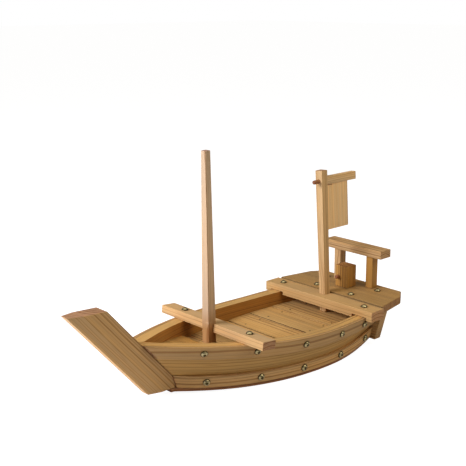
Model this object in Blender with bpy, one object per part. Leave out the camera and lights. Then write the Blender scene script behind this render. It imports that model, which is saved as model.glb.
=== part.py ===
"""Wooden serving boat: bent hull sides, cross bars, stern deck with a gate, a mast and a flag, all nailed.

Units are metres. The bow points to -X, starboard is +Y and the boat stands on Z = 0.
"""

import math

import bmesh
import bpy
from mathutils import Matrix, Vector

# Overall
OVERALL_LENGTH = 0.6096
CLEARANCE = 0.0003

# Prow stem: a raked board in the middle plane
STEM_RAKE = math.radians(41.7)
STEM_TIP_HEIGHT = 0.1555
STEM_TOP_DROP = 0.0035
STEM_WIDTH = 0.057
STEM_THICKNESS = 0.0255
STEM_NOSE_THICKNESS = 0.014
STEM_BEVEL_LENGTH = 0.020
STEM_HEEL_RUN = 0.0065

# Hull lines, taken on the outer face of the side planks
SHEER_AFT_HEIGHT = 0.0602
SHEER_BOW_RISE = 0.029
SHEER_POWER = 1.6
SHEER_FLAT_AFT = 0.093
GUNWALE_HALF_BEAM = 0.1017
GUNWALE_HALF_STERN = 0.0942
BOW_REVEAL = 0.0005
BOW_FAIR_LENGTH = 0.090
BOW_FAIR_POWER = 2.0
FOOT_HALF_BEAM = 0.0937
FOOT_HALF_STERN = 0.0815
FOOT_HALF_BOW = 0.0152
WIDEST_AHEAD_OF_TRANSOM = 0.118
SECTION_HOLLOW = 1.3
ROCKER_BOW = 0.0045
ROCKER_BOW_LENGTH = 0.160
ROCKER_BOW_POWER = 1.5
ROCKER_STERN = 0.012
ROCKER_STERN_LENGTH = 0.105
ROCKER_STERN_POWER = 2.0
PLAN_POWER = 2.0
HULL_STATIONS = 34
BOW_FIT_ROUNDS = 40

# Hull boards
PLANK_THICKNESS = 0.015
STRAKE_THICKNESS = 0.005
STRAKE_TIP_THICKNESS = 0.0010
STRAKE_TIP_LENGTH = 0.026
STRAKE_TIP_POWER = 1.5
UPPER_STRAKE_HEIGHT = 0.0210
LOWER_STRAKE_HEIGHT = 0.0150
LOWER_STRAKE_BOW_HEIGHT = 0.0200
BOTTOM_THICKNESS = 0.005
BOTTOM_TOE = 0.003
BOTTOM_LEDGE = 0.003
TRANSOM_THICKNESS = 0.0145
TRANSOM_REVEAL = 0.0080

# Floor
FLOOR_TOP = 0.0406
FLOOR_THICKNESS = 0.008
# Widths of the floor boards from the stern; one more runs on to the bow.
FLOOR_WIDTHS = (0.0605, 0.0525, 0.0525, 0.0525, 0.0691)
# How far the rear and the front edge of every board stand above the flat part of the floor.
FLOOR_LIFTS = ((0.0, 0.0), (0.0, 0.0), (0.0, 0.0), (0.0, 0.0030), (0.0030, 0.0097), (0.0152, 0.0290))
FLOOR_BOW_SETBACK = 0.003
FLOOR_STATIONS = 4
BEARER_WIDTH = 0.012
BEARER_SPACING = 0.092
BEARER_STEP = 0.001

# Thwart and mast
THWART_AHEAD_OF_MIDDLE = 0.0405
THWART_WIDTH = 0.0256
THWART_THICKNESS = 0.0127
THWART_LENGTH = 0.2243
MAST_SIZE = 0.0146
MAST_TOP_SIZE = 0.0097
MAST_TOP_HEIGHT = 0.345
MAST_RAKE = math.radians(1.0)
MAST_HEEL_ABOVE_THWART = 0.004
STEP_SIZE = 0.022
STEP_HEIGHT = 0.005

# Deck beam, aft deck and the fittings on it
BEAM_WIDTH = 0.0305
BEAM_THICKNESS = 0.0159
BEAM_LENGTH = 0.2342
BEAM_TOP = 0.0720
BEAM_NOTCH_SLACK = 0.0010
DECK_GAP = 0.0020
DECK_LENGTH = 0.0868
DECK_THICKNESS = 0.0133
DECK_HALF_FRONT = 0.1120
DECK_HALF_AFT = 0.0960
DECK_CORNER_ALONG = 0.0220
DECK_CORNER_ACROSS = 0.0114
STERN_OVERHANG = 0.0672
CLEAT_WIDTH = 0.018
CLEAT_THICKNESS = 0.012
CLEAT_LENGTH = 0.146
RAIL_WIDTH = 0.0268
RAIL_THICKNESS = 0.0136
RAIL_LENGTH = 0.124
RAIL_AFT_SETBACK = 0.0023
GATE_POST_DEPTH = 0.0149
GATE_POST_WIDTH = 0.0136
GATE_POST_HEIGHT = 0.0550
GATE_POST_SPACING = 0.070
GATE_POST_SETBACK = 0.0040
BITT_DEPTH = 0.0238
BITT_WIDTH = 0.0258
BITT_HEIGHT = 0.0374
BITT_AFT_SETBACK = 0.0317
PIN_DIAMETER = 0.0066
PIN_REACH = 0.0070
PIN_DEPTH = 0.0120
PIN_HEIGHT = 0.0175
PIN_OFFSET = 0.0060

# Flag: post, dowel, bar and board, all leaning to starboard together
FLAG_LEAN = math.radians(3.6)
POST_DEPTH = 0.0130
POST_WIDTH = 0.0122
POST_TOP_SIZE = 0.0142
POST_LENGTH = 0.2396
POST_OFFSET = -0.0005
POST_BEHIND = 0.0006
SLOT_REACH = 0.004
PEG_DIAMETER = 0.0068
PEG_HEIGHT = 0.2214
PEG_REACH = 0.0130
PEG_DEPTH = 0.0220
BAR_LENGTH = 0.0750
BAR_HEIGHT = 0.0135
BAR_THICKNESS = 0.0100
BOARD_LENGTH = 0.0545
BOARD_HEIGHT = 0.0762
BOARD_THICKNESS = 0.0060
SLIT_LENGTH = 0.0160
SLIT_DEPTH = 0.0012

# Brass dome nails
NAIL_HEAD = 0.0110
NAIL_DOME = 0.0038
NAIL_SHANK = 0.0024
NAIL_BITE = 0.0080
NAIL_SIDES = 12
NAIL_RINGS = 3
ROD_SIDES = 20
SHARP_ANGLE = math.radians(40)
# Places of the nails along the strakes, as shares of the way from the heel of the stem to the transom.
UPPER_NAIL_SHARES = (0.0666, 0.2811, 0.5163, 0.7356, 0.9019)
LOWER_NAIL_SHARES = (0.1059, 0.3168, 0.5235, 0.7476, 0.9387)
DECK_NAIL_FRONT_SPACING = 0.0746
DECK_NAIL_AFT_SPACING = 0.1112
DECK_NAIL_AFT_SETBACK = 0.0270

# Sides of the boat and the direction of each along Y
SIDES = (("port", -1), ("starboard", 1))

# Colours: base colour, roughness, metallic
PINE = ((0.62, 0.43, 0.23), 0.60, 0.0)
PINE_DARK = ((0.50, 0.33, 0.16), 0.62, 0.0)
PINE_PALE = ((0.72, 0.52, 0.30), 0.58, 0.0)
DOWEL = ((0.42, 0.20, 0.09), 0.55, 0.0)
BRASS = ((0.68, 0.54, 0.26), 0.30, 1.0)

# Derived lines
STEM_SLOPE = math.tan(STEM_RAKE)
TIP_X = -OVERALL_LENGTH / 2
DECK_AFT_X = OVERALL_LENGTH / 2
DECK_FRONT_X = DECK_AFT_X - DECK_LENGTH
TRANSOM_X = DECK_AFT_X - STERN_OVERHANG - TRANSOM_THICKNESS
HULL_AFT_X = TRANSOM_X - CLEARANCE
WIDEST_X = TRANSOM_X - WIDEST_AHEAD_OF_TRANSOM
BOW_HEIGHT = SHEER_AFT_HEIGHT + SHEER_BOW_RISE
STEM_BACK_TOP_X = TIP_X + STEM_WIDTH
BOW_X = STEM_BACK_TOP_X + (STEM_TIP_HEIGHT - BOW_HEIGHT) * STEM_SLOPE
HEEL_FOOT = ROCKER_BOW + BOTTOM_THICKNESS + CLEARANCE
HEEL_TOP = HEEL_FOOT + LOWER_STRAKE_BOW_HEIGHT
HEEL_X = BOW_X + (BOW_HEIGHT - HEEL_TOP) * STEM_SLOPE
BOW_HALF = STEM_THICKNESS / 2 - BOW_REVEAL
STRAKE_INNER = CLEARANCE
STRAKE_OUTER = CLEARANCE + STRAKE_THICKNESS
STRAKE_TIP = CLEARANCE + STRAKE_TIP_THICKNESS
FLOOR_REST = FLOOR_TOP + CLEARANCE
DECK_FOOT = SHEER_AFT_HEIGHT + CLEARANCE
DECK_REST = DECK_FOOT + DECK_THICKNESS + CLEARANCE
BEAM_X = DECK_FRONT_X - DECK_GAP - BEAM_WIDTH / 2
THWART_X = -THWART_AHEAD_OF_MIDDLE


def rise(x, start, end, height, power):
    """Return a height that grows from zero at start to the full height at end."""
    share = max(0.0, (x - start) / (end - start))
    return height * share**power


def sheer(x):
    """Return the height of the gunwale at x."""
    return SHEER_AFT_HEIGHT + rise(x, TRANSOM_X - SHEER_FLAT_AFT, BOW_X, SHEER_BOW_RISE, SHEER_POWER)


def keel(x):
    """Return the height of the underside of the bottom board at x."""
    bow = rise(x, HEEL_X + ROCKER_BOW_LENGTH, HEEL_X, ROCKER_BOW, ROCKER_BOW_POWER)
    stern_start = TRANSOM_X - ROCKER_STERN_LENGTH
    return bow + rise(x, stern_start, TRANSOM_X, ROCKER_STERN, ROCKER_STERN_POWER)


def foot(x):
    """Return the height of the lower edge of the side planks at x."""
    return keel(x) + BOTTOM_THICKNESS + CLEARANCE


def lower_strake_top(x):
    """Return the height of the upper edge of the lower strakes at x."""
    extra = rise(x, WIDEST_X, HEEL_X, LOWER_STRAKE_BOW_HEIGHT - LOWER_STRAKE_HEIGHT, 1.0)
    return foot(x) + LOWER_STRAKE_HEIGHT + extra


def upper_strake_foot(x):
    """Return the height of the lower edge of the upper strakes at x."""
    return sheer(x) - UPPER_STRAKE_HEIGHT


def plan_curve(x, bow_x, bow_half, beam_half, stern_half):
    """Return the half breadth of a waterline that bends from the widest station to both ends."""
    if x < WIDEST_X:
        return beam_half - rise(x, WIDEST_X, bow_x, beam_half - bow_half, PLAN_POWER)
    return beam_half - rise(x, WIDEST_X, TRANSOM_X, beam_half - stern_half, PLAN_POWER)


def stem_back(z):
    """Return x on the rear edge of the stem: raked down to the heel, then steeper."""
    heel = rise(z, HEEL_TOP, HEEL_FOOT, STEM_HEEL_RUN, 1.0)
    return BOW_X + (BOW_HEIGHT - max(z, HEEL_TOP)) * STEM_SLOPE + heel


def swept_face(x, z):
    """Return the half breadth of a surface swept between the waterlines of the gunwale and the foot."""
    high = plan_curve(x, BOW_X, BOW_HALF, GUNWALE_HALF_BEAM, GUNWALE_HALF_STERN)
    low = plan_curve(x, HEEL_X, FOOT_HALF_BOW, FOOT_HALF_BEAM, FOOT_HALF_STERN)
    share = max(0.0, (z - foot(x)) / (sheer(x) - foot(x)))
    return low + (high - low) * share**SECTION_HOLLOW


def plank_face(x, z):
    """Return the half breadth of the outer face of the side planks, drawn in to the stem at the bow."""
    end = stem_back(z)
    fade = min(1.0, rise(x, end + BOW_FAIR_LENGTH, end, 1.0, BOW_FAIR_POWER))
    return swept_face(x, z) - (swept_face(end, z) - BOW_HALF) * fade


def face_slopes(x, z):
    """Return how the half breadth of the plank face changes along x and along z."""
    step = CLEARANCE
    along = (plank_face(x + step, z) - plank_face(x - step, z)) / (2 * step)
    upward = (plank_face(x, z + step) - plank_face(x, z - step)) / (2 * step)
    return along, upward


def hull_half(x, z, offset):
    """Return the half breadth of a surface that lies offset outside the plank face."""
    along, upward = face_slopes(x, z)
    return plank_face(x, z) + offset * math.sqrt(1.0 + along**2 + upward**2)


def bow_end(height):
    """Return x where a line of the hull, given as a height over x, meets the stem."""
    x = BOW_X
    for _ in range(BOW_FIT_ROUNDS):
        x = stem_back(height(x)) + CLEARANCE
    return x


def floor_spans():
    """Return the rear x, front x, rear height and front height of the top of every floor board."""
    edges = [HULL_AFT_X]
    for width in FLOOR_WIDTHS:
        edges.append(edges[-1] - width)
    edges.append(HEEL_X + FLOOR_BOW_SETBACK)
    heights = [(FLOOR_TOP + aft, FLOOR_TOP + fore) for aft, fore in FLOOR_LIFTS]
    return [(*ends, *pair) for *ends, pair in zip(edges, edges[1:], heights)]


def board_height(span, x):
    """Return the height of the top of one floor board at x."""
    aft, fore, low, high = span
    return low + (high - low) * (aft - x) / (aft - fore)


def floor_height(x):
    """Return the height of the top of the floor at x."""
    return board_height(next(span for span in floor_spans() if x >= span[1]), x)


def stations(start, end, count):
    """Return evenly spaced x values, both ends included."""
    return [start + (end - start) * index / count for index in range(count + 1)]


def set_material(obj, finish):
    """Give an object its own material."""
    colour, roughness, metallic = finish
    material = bpy.data.materials.new(obj.name)
    material.use_nodes = True
    shader = material.node_tree.nodes["Principled BSDF"]
    shader.inputs["Base Color"].default_value = (*colour, 1.0)
    shader.inputs["Roughness"].default_value = roughness
    shader.inputs["Metallic"].default_value = metallic
    obj.data.materials.append(material)


def add_object(name, bm, finish=None, parent=None, smooth=False):
    """Turn a bmesh into a linked object; without a finish it is a hidden cutter."""
    bmesh.ops.recalc_face_normals(bm, faces=bm.faces)
    mesh = bpy.data.meshes.new(name)
    bm.to_mesh(mesh)
    bm.free()
    obj = bpy.data.objects.new(name, mesh)
    bpy.context.collection.objects.link(obj)
    obj.parent = parent
    if smooth:
        mesh.shade_smooth()
        mesh.set_sharp_from_angle(angle=SHARP_ANGLE)
    if finish is None:
        obj.hide_render = True
        obj.display_type = "WIRE"
    else:
        set_material(obj, finish)
    return obj


def add_loft(bm, rings):
    """Skin closed rings of equal length and cap both ends with strips across them.

    Every strip is split from its lower near corner to its upper far one, so that two twisted faces
    that lie on each other stay apart by the same gap everywhere.
    """
    rows = [[bm.verts.new(point) for point in ring] for ring in rings]
    count = len(rows[0])
    for near, far in zip(rows, rows[1:]):
        for index in range(count):
            low = index
            high = (index + 1) % count
            if near[low].co.z > near[high].co.z:
                low, high = high, low
            bm.faces.new((near[low], near[high], far[high]))
            bm.faces.new((near[low], far[high], far[low]))
    for ring in (rows[0], rows[-1]):
        for index in range(count // 2 - 1):
            bm.faces.new((ring[index], ring[index + 1], ring[count - 2 - index], ring[count - 1 - index]))


def loft_object(name, rings, finish=None, parent=None):
    """Return an object skinned over closed rings."""
    bm = bmesh.new()
    add_loft(bm, rings)
    return add_object(name, bm, finish, parent)


def square_ring(size_x, size_y, z):
    """Return a level rectangle centred on the Z axis."""
    half_x = size_x / 2
    half_y = size_y / 2
    return [(-half_x, -half_y, z), (half_x, -half_y, z), (half_x, half_y, z), (-half_x, half_y, z)]


def block_object(name, size, base, finish, parent=None):
    """Return a square-edged block whose origin is the middle of its underside."""
    rings = [square_ring(size[0], size[1], z) for z in (0.0, size[2])]
    obj = loft_object(name, rings, finish, parent)
    obj.location = base
    return obj


def slab_object(name, near, far, finish, parent=None):
    """Return a board given by the matching loops of points of its two broad faces."""
    bm = bmesh.new()
    loops = [[bm.verts.new(point) for point in loop] for loop in (near, far)]
    for loop in loops:
        bm.faces.new(loop)
    for index in range(len(near)):
        after = (index + 1) % len(near)
        bm.faces.new((loops[0][index], loops[0][after], loops[1][after], loops[1][index]))
    return add_object(name, bm, finish, parent)


def add_turned(bm, profile, sides, matrix):
    """Turn a profile of (radius, height) points, closed at both ends, about the local Z axis."""
    rings = []
    for radius, height in profile:
        if radius == 0.0:
            rings.append([bm.verts.new(matrix @ Vector((0.0, 0.0, height)))])
            continue
        angles = [math.tau * index / sides for index in range(sides)]
        points = [Vector((radius * math.cos(a), radius * math.sin(a), height)) for a in angles]
        rings.append([bm.verts.new(matrix @ point) for point in points])
    for near, far in zip(rings, rings[1:]):
        for index in range(sides):
            after = (index + 1) % sides
            corners = [near[index % len(near)], near[after % len(near)]]
            corners += [far[after % len(far)], far[index % len(far)]]
            bm.faces.new(list(dict.fromkeys(corners)))


def rod_profile(radius, low, high):
    """Return the profile of a plain rod along Z."""
    return [(0.0, low), (radius, low), (radius, high), (0.0, high)]


def cut(target, cutter):
    """Subtract a cutter from an object."""
    modifier = target.modifiers.new(cutter.name, "BOOLEAN")
    modifier.operation = "DIFFERENCE"
    modifier.solver = "EXACT"
    modifier.object = cutter


def hull_band(name, side, heights, inner, outer, tip, finish):
    """Return a bent board of the hull side, with a row of points for each height on both faces.

    Its outer face lies outer outside the planks, and comes in to tip at the stem.
    """
    ends = [bow_end(height) for height in heights]
    rings = []
    for step in range(HULL_STATIONS + 1):
        share = step / HULL_STATIONS
        outside = []
        inside = []
        for height, front in zip(heights, ends):
            x = front + (HULL_AFT_X - front) * share
            z = height(x)
            thinned = rise(x, front + STRAKE_TIP_LENGTH, front, outer - tip, STRAKE_TIP_POWER)
            outside.append((x, side * hull_half(x, z, outer - thinned), z))
            inside.append((x, side * max(CLEARANCE / 2, hull_half(x, z, inner)), z))
        rings.append(outside + inside[::-1])
    return loft_object(name, rings, finish)


def build_stem():
    """Build the prow stem: a section with a bevelled nose, carried up along the rake."""
    section = [
        (0.0, STEM_NOSE_THICKNESS / 2),
        (STEM_BEVEL_LENGTH, STEM_THICKNESS / 2),
        (STEM_WIDTH, STEM_THICKNESS / 2),
    ]
    section += [(back, -half) for back, half in reversed(section)]
    rings = []
    for base, drop in ((HEEL_FOOT + CLEARANCE, 0.0), (HEEL_TOP, 0.0), (STEM_TIP_HEIGHT, STEM_TOP_DROP)):
        ring = []
        for back, y in section:
            z = base - drop * back / STEM_WIDTH
            x = TIP_X + (STEM_TIP_HEIGHT - z) * STEM_SLOPE + back
            ring.append((min(x, stem_back(z)), y, z))
        rings.append(ring)
    loft_object("prow_stem", rings, PINE)


def build_hull():
    """Build the stem, the bent sides, the bottom board and the transom."""
    build_stem()
    pieces = {}
    plank_rows = [foot, lower_strake_top, upper_strake_foot, sheer]
    for word, side in SIDES:
        pieces["plank", side] = hull_band(
            "side_plank_" + word, side, plank_rows, -PLANK_THICKNESS, 0.0, 0.0, PINE_DARK)
        pieces["upper", side] = hull_band(
            "upper_strake_" + word, side, plank_rows[2:], STRAKE_INNER, STRAKE_OUTER, STRAKE_OUTER, PINE)
        pieces["lower", side] = hull_band(
            "lower_strake_" + word, side, plank_rows[:2], STRAKE_INNER, STRAKE_OUTER, STRAKE_TIP, PINE)

    rings = []
    for x in stations(HEEL_X - BOTTOM_TOE, HULL_AFT_X, HULL_STATIONS):
        low = keel(x)
        high = low + BOTTOM_THICKNESS
        half = max(plank_face(x, foot(x)) + BOTTOM_LEDGE, STEM_THICKNESS / 2)
        rings.append([(x, half, low), (x, -half, low), (x, -half, high), (x, half, high)])
    loft_object("bottom_board", rings, PINE_DARK)

    low = keel(TRANSOM_X)
    high = SHEER_AFT_HEIGHT
    narrow = hull_half(TRANSOM_X, foot(TRANSOM_X), STRAKE_OUTER) + TRANSOM_REVEAL
    wide = hull_half(TRANSOM_X, high, STRAKE_OUTER) + TRANSOM_REVEAL
    outline = [(narrow, low), (-narrow, low), (-wide, high), (wide, high)]
    faces = [[(x, y, z) for y, z in outline] for x in (TRANSOM_X, TRANSOM_X + TRANSOM_THICKNESS)]
    pieces["transom"] = slab_object("transom", *faces, PINE)
    return pieces


def build_floor():
    """Build the crosswise floor boards and the two bearers under them."""
    inner = -PLANK_THICKNESS - CLEARANCE
    for index, span in enumerate(floor_spans(), start=1):
        aft, fore = span[:2]
        rings = []
        for x in stations(fore + CLEARANCE / 2, aft - CLEARANCE / 2, FLOOR_STATIONS):
            high = board_height(span, x)
            low = high - FLOOR_THICKNESS
            narrow = hull_half(x, low, inner)
            wide = hull_half(x, high, inner)
            outline = [(narrow, low), (-narrow, low), (-wide, high), (wide, high)]
            rings.append([(x, y, z) for y, z in outline])
        loft_object(f"floor_board_{index}", rings, PINE)

    reach = BEARER_SPACING / 2 + BEARER_WIDTH / 2 + CLEARANCE
    front = HEEL_X
    while hull_half(front, foot(front), inner) < reach:
        front += BEARER_STEP
    for word, side in SIDES:
        rings = []
        near = side * (BEARER_SPACING - BEARER_WIDTH) / 2
        far = side * (BEARER_SPACING + BEARER_WIDTH) / 2
        for x in stations(front, HULL_AFT_X, HULL_STATIONS // 2):
            base = foot(x)
            high = floor_height(x) - FLOOR_THICKNESS - CLEARANCE
            rings.append([(x, near, base), (x, far, base), (x, far, high), (x, near, high)])
        loft_object("floor_bearer_" + word, rings, PINE_DARK)


def build_thwart_and_mast():
    """Build the thwart, laid along the sheer, the mast in its notch and the step that holds its foot."""
    thwart_front = THWART_X - THWART_WIDTH / 2
    fore_seat = sheer(thwart_front)
    aft_seat = sheer(THWART_X + THWART_WIDTH / 2)
    seat = (fore_seat + aft_seat) / 2 + CLEARANCE
    size = (THWART_WIDTH, THWART_LENGTH, THWART_THICKNESS)
    thwart = block_object("thwart", size, (THWART_X, 0.0, seat), PINE)
    thwart.rotation_euler.y = math.atan2(fore_seat - aft_seat, THWART_WIDTH)

    mast_foot = floor_height(thwart_front - MAST_SIZE / 2) + CLEARANCE
    heel = seat + THWART_THICKNESS + MAST_HEEL_ABOVE_THWART - mast_foot
    length = (MAST_TOP_HEIGHT - mast_foot) / math.cos(MAST_RAKE)
    base = (thwart_front + (seat - mast_foot) * math.tan(MAST_RAKE), 0.0, mast_foot)
    sizes = ((0.0, MAST_SIZE), (heel, MAST_SIZE), (length, MAST_TOP_SIZE))
    mast = loft_object("mast", [square_ring(size, size, z) for z, size in sizes], PINE_PALE)
    step_at = (base[0], 0.0, floor_height(base[0]) + CLEARANCE)
    step = block_object("mast_step", (STEP_SIZE, STEP_SIZE, STEP_HEIGHT), step_at, PINE_DARK)
    step.rotation_euler.y = math.atan2(mast_foot - step_at[2], base[0] - thwart_front + MAST_SIZE / 2)
    hole = MAST_SIZE + 2 * CLEARANCE
    socket = loft_object("mast_socket_cut", [square_ring(hole, hole, z) for z in (-STEP_HEIGHT, length)])
    for obj in (mast, socket):
        obj.location = base
        obj.rotation_euler.y = -MAST_RAKE
    cut(thwart, socket)
    cut(step, socket)
    return thwart, seat


def fit_rod(name, carrier, place, radius, reach, depth, parent):
    """Add a dowel that stands forward from a face, in a hole drilled into the carrier behind it."""
    turn = Matrix.Rotation(math.radians(90), 4, "Y")
    bm = bmesh.new()
    add_turned(bm, rod_profile(radius, -reach, depth), ROD_SIDES, turn)
    rod = add_object(name, bm, DOWEL, parent, smooth=True)
    bm = bmesh.new()
    add_turned(bm, rod_profile(radius + CLEARANCE, -reach, depth + CLEARANCE), ROD_SIDES, turn)
    hole = add_object(name + "_cut", bm, None, parent)
    rod.location = place
    hole.location = place
    cut(carrier, hole)
    return hole


def build_deck():
    """Build the notched beam, the aft deck, the cleat under it, the gate and the bitt with its pin."""
    fore = BEAM_X - BEAM_WIDTH / 2
    aft = BEAM_X + BEAM_WIDTH / 2
    low = BEAM_TOP - BEAM_THICKNESS
    slack = BEAM_NOTCH_SLACK
    outer = hull_half(fore, SHEER_AFT_HEIGHT, STRAKE_OUTER) + slack
    inner = hull_half(aft, low, -PLANK_THICKNESS) - slack
    profile = [(BEAM_LENGTH / 2, BEAM_TOP), (BEAM_LENGTH / 2, low), (outer, low), (outer, DECK_FOOT)]
    profile += [(inner, DECK_FOOT), (inner, low)]
    profile += [(-y, z) for y, z in reversed(profile)]
    faces = [[(x, y, z) for y, z in profile] for x in (fore, aft)]
    beam = slab_object("deck_beam", *faces, PINE)

    side_slope = (DECK_HALF_FRONT - DECK_HALF_AFT) / DECK_LENGTH
    corner = DECK_AFT_X - DECK_CORNER_ALONG
    half = [(DECK_FRONT_X, DECK_HALF_FRONT), (corner, DECK_HALF_AFT + side_slope * DECK_CORNER_ALONG)]
    half.append((DECK_AFT_X, DECK_HALF_AFT - DECK_CORNER_ACROSS))
    outline = half + [(x, -y) for x, y in reversed(half)]
    faces = [[(x, y, z) for x, y in outline] for z in (DECK_FOOT, DECK_FOOT + DECK_THICKNESS)]
    deck = slab_object("aft_deck", *faces, PINE)

    cleat_x = DECK_AFT_X - DECK_NAIL_AFT_SETBACK
    cleat_base = (cleat_x, 0.0, DECK_FOOT - CLEARANCE - CLEAT_THICKNESS)
    cleat = block_object("deck_cleat", (CLEAT_WIDTH, CLEAT_LENGTH, CLEAT_THICKNESS), cleat_base, PINE_DARK)

    rail_fore = DECK_AFT_X - RAIL_AFT_SETBACK - RAIL_WIDTH
    post_x = rail_fore + GATE_POST_SETBACK + GATE_POST_DEPTH / 2
    for word, side in SIDES:
        block_object(
            "gate_post_" + word,
            (GATE_POST_DEPTH, GATE_POST_WIDTH, GATE_POST_HEIGHT),
            (post_x, side * GATE_POST_SPACING / 2, DECK_REST),
            PINE_PALE,
        )
    rail_base = DECK_REST + GATE_POST_HEIGHT + CLEARANCE
    rail_x = rail_fore + RAIL_WIDTH / 2
    block_object("gate_rail", (RAIL_WIDTH, RAIL_LENGTH, RAIL_THICKNESS), (rail_x, 0.0, rail_base), PINE)

    bitt_x = DECK_AFT_X - BITT_AFT_SETBACK - BITT_DEPTH / 2
    bitt = block_object("bitt", (BITT_DEPTH, BITT_WIDTH, BITT_HEIGHT), (bitt_x, 0.0, DECK_REST), PINE_PALE)
    pin_at = Vector((bitt_x - BITT_DEPTH / 2, PIN_OFFSET, DECK_REST + PIN_HEIGHT))
    fit_rod("bitt_pin", bitt, pin_at, PIN_DIAMETER / 2, PIN_REACH, PIN_DEPTH, None)
    return beam, deck, cleat


def build_flag(beam):
    """Build the leaning post in the slot of the beam, with the flag that hangs on its dowel."""
    foot_at = bpy.data.objects.new("flag_foot", None)
    bpy.context.collection.objects.link(foot_at)
    beam_aft = BEAM_X + BEAM_WIDTH / 2
    foot_at.location = (beam_aft - POST_BEHIND - POST_DEPTH / 2, POST_OFFSET, FLOOR_REST)
    foot_at.rotation_euler.x = -FLAG_LEAN

    lift = POST_WIDTH / 2 * math.tan(FLAG_LEAN)
    rings = [square_ring(POST_DEPTH, POST_WIDTH, lift)]
    rings.append(square_ring(POST_TOP_SIZE, POST_TOP_SIZE, POST_LENGTH))
    post = loft_object("flag_post", rings, PINE, foot_at)

    slot_height = BEAM_TOP - FLOOR_REST + BEAM_THICKNESS
    share = slot_height / POST_LENGTH
    slot_half = (POST_WIDTH + (POST_TOP_SIZE - POST_WIDTH) * share) / 2 + CLEARANCE
    fore = -(POST_DEPTH + (POST_TOP_SIZE - POST_DEPTH) * share) / 2 - CLEARANCE
    aft = POST_DEPTH / 2 + POST_BEHIND + SLOT_REACH
    corners = [(fore, -slot_half), (aft, -slot_half), (aft, slot_half), (fore, slot_half)]
    faces = [[(x, y, z) for x, y in corners] for z in (lift, slot_height)]
    cut(beam, slab_object("flag_slot_cut", *faces, None, foot_at))

    peg_at = Vector((-POST_TOP_SIZE / 2, 0.0, PEG_HEIGHT))
    peg_hole = fit_rod("flag_peg", post, peg_at, PEG_DIAMETER / 2, PEG_REACH, PEG_DEPTH, foot_at)
    hang_at = (POST_TOP_SIZE / 2 + CLEARANCE, 0.0, PEG_HEIGHT)

    outline = square_ring(BAR_THICKNESS, BAR_HEIGHT, 0.0)
    faces = [[(x, y, z) for y, z, _ in outline] for x in (0.0, BAR_LENGTH)]
    bar = slab_object("flag_bar", *faces, PINE, foot_at)
    bar.location = hang_at
    cut(bar, peg_hole)

    top = -BAR_HEIGHT / 2 - CLEARANCE
    low = top - BOARD_HEIGHT
    notch = top - SLIT_DEPTH
    outline = [(0.0, low), (BOARD_LENGTH, low), (BOARD_LENGTH, top)]
    outline += [(SLIT_LENGTH, top), (SLIT_LENGTH, notch), (0.0, notch)]
    faces = [[(x, y, z) for x, z in outline] for y in (-BOARD_THICKNESS / 2, BOARD_THICKNESS / 2)]
    board = slab_object("flag_board", *faces, PINE, foot_at)
    board.location = hang_at


def nail_profile(length):
    """Return the profile of a dome-headed nail whose flat underside is at height zero."""
    head = NAIL_HEAD / 2
    shank = NAIL_SHANK / 2
    sphere = (head**2 + NAIL_DOME**2) / (2 * NAIL_DOME)
    edge = math.asin(head / sphere)
    angles = [edge * index / NAIL_RINGS for index in range(NAIL_RINGS)]
    dome = [(sphere * math.sin(a), NAIL_DOME - sphere * (1.0 - math.cos(a))) for a in angles]
    return dome + [(head, 0.0), (shank, 0.0), (shank, -length), (0.0, -length)]


def drive_nails(name, spots, carriers):
    """Drive nails and drill their carriers.

    Each spot is a label, the place of the head's underside, the outward direction and the shank length.
    """
    holes = bmesh.new()
    for label, place, outward, length in spots:
        matrix = Matrix.Translation(place) @ outward.to_track_quat("Z", "Y").to_matrix().to_4x4()
        bm = bmesh.new()
        add_turned(bm, nail_profile(length), NAIL_SIDES, Matrix.Identity(4))
        nail = add_object(f"{name}_{label}", bm, BRASS, None, smooth=True)
        nail.matrix_world = matrix
        radius = NAIL_SHANK / 2 + CLEARANCE
        add_turned(holes, rod_profile(radius, -length - CLEARANCE, NAIL_DOME), NAIL_SIDES, matrix)
    cutter = add_object(name + "_cut", holes)
    for carrier in carriers:
        cut(carrier, cutter)


def strake_spots(side, shares, low, high):
    """Return the nail spots along one strake, from the bow to the stern."""
    row = [HEEL_X + (TRANSOM_X - HEEL_X) * share for share in shares]
    length = STRAKE_THICKNESS + CLEARANCE + NAIL_BITE

    def edge(x, height):
        """Return the half breadth of one edge of the strake, on its outer face."""
        return hull_half(x, height(x), STRAKE_OUTER)

    spots = []
    for label, x in enumerate(row, start=1):
        z = (low(x) + high(x)) / 2
        half = (edge(x, low) + edge(x, high)) / 2
        along = face_slopes(x, z)[0]
        upward = (edge(x, high) - edge(x, low)) / (high(x) - low(x))
        outward = Vector((-along, side, -upward)).normalized()
        surface = Vector((x, side * half, z))
        spots.append((label, surface + outward * CLEARANCE, outward, length))
    return spots


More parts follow.
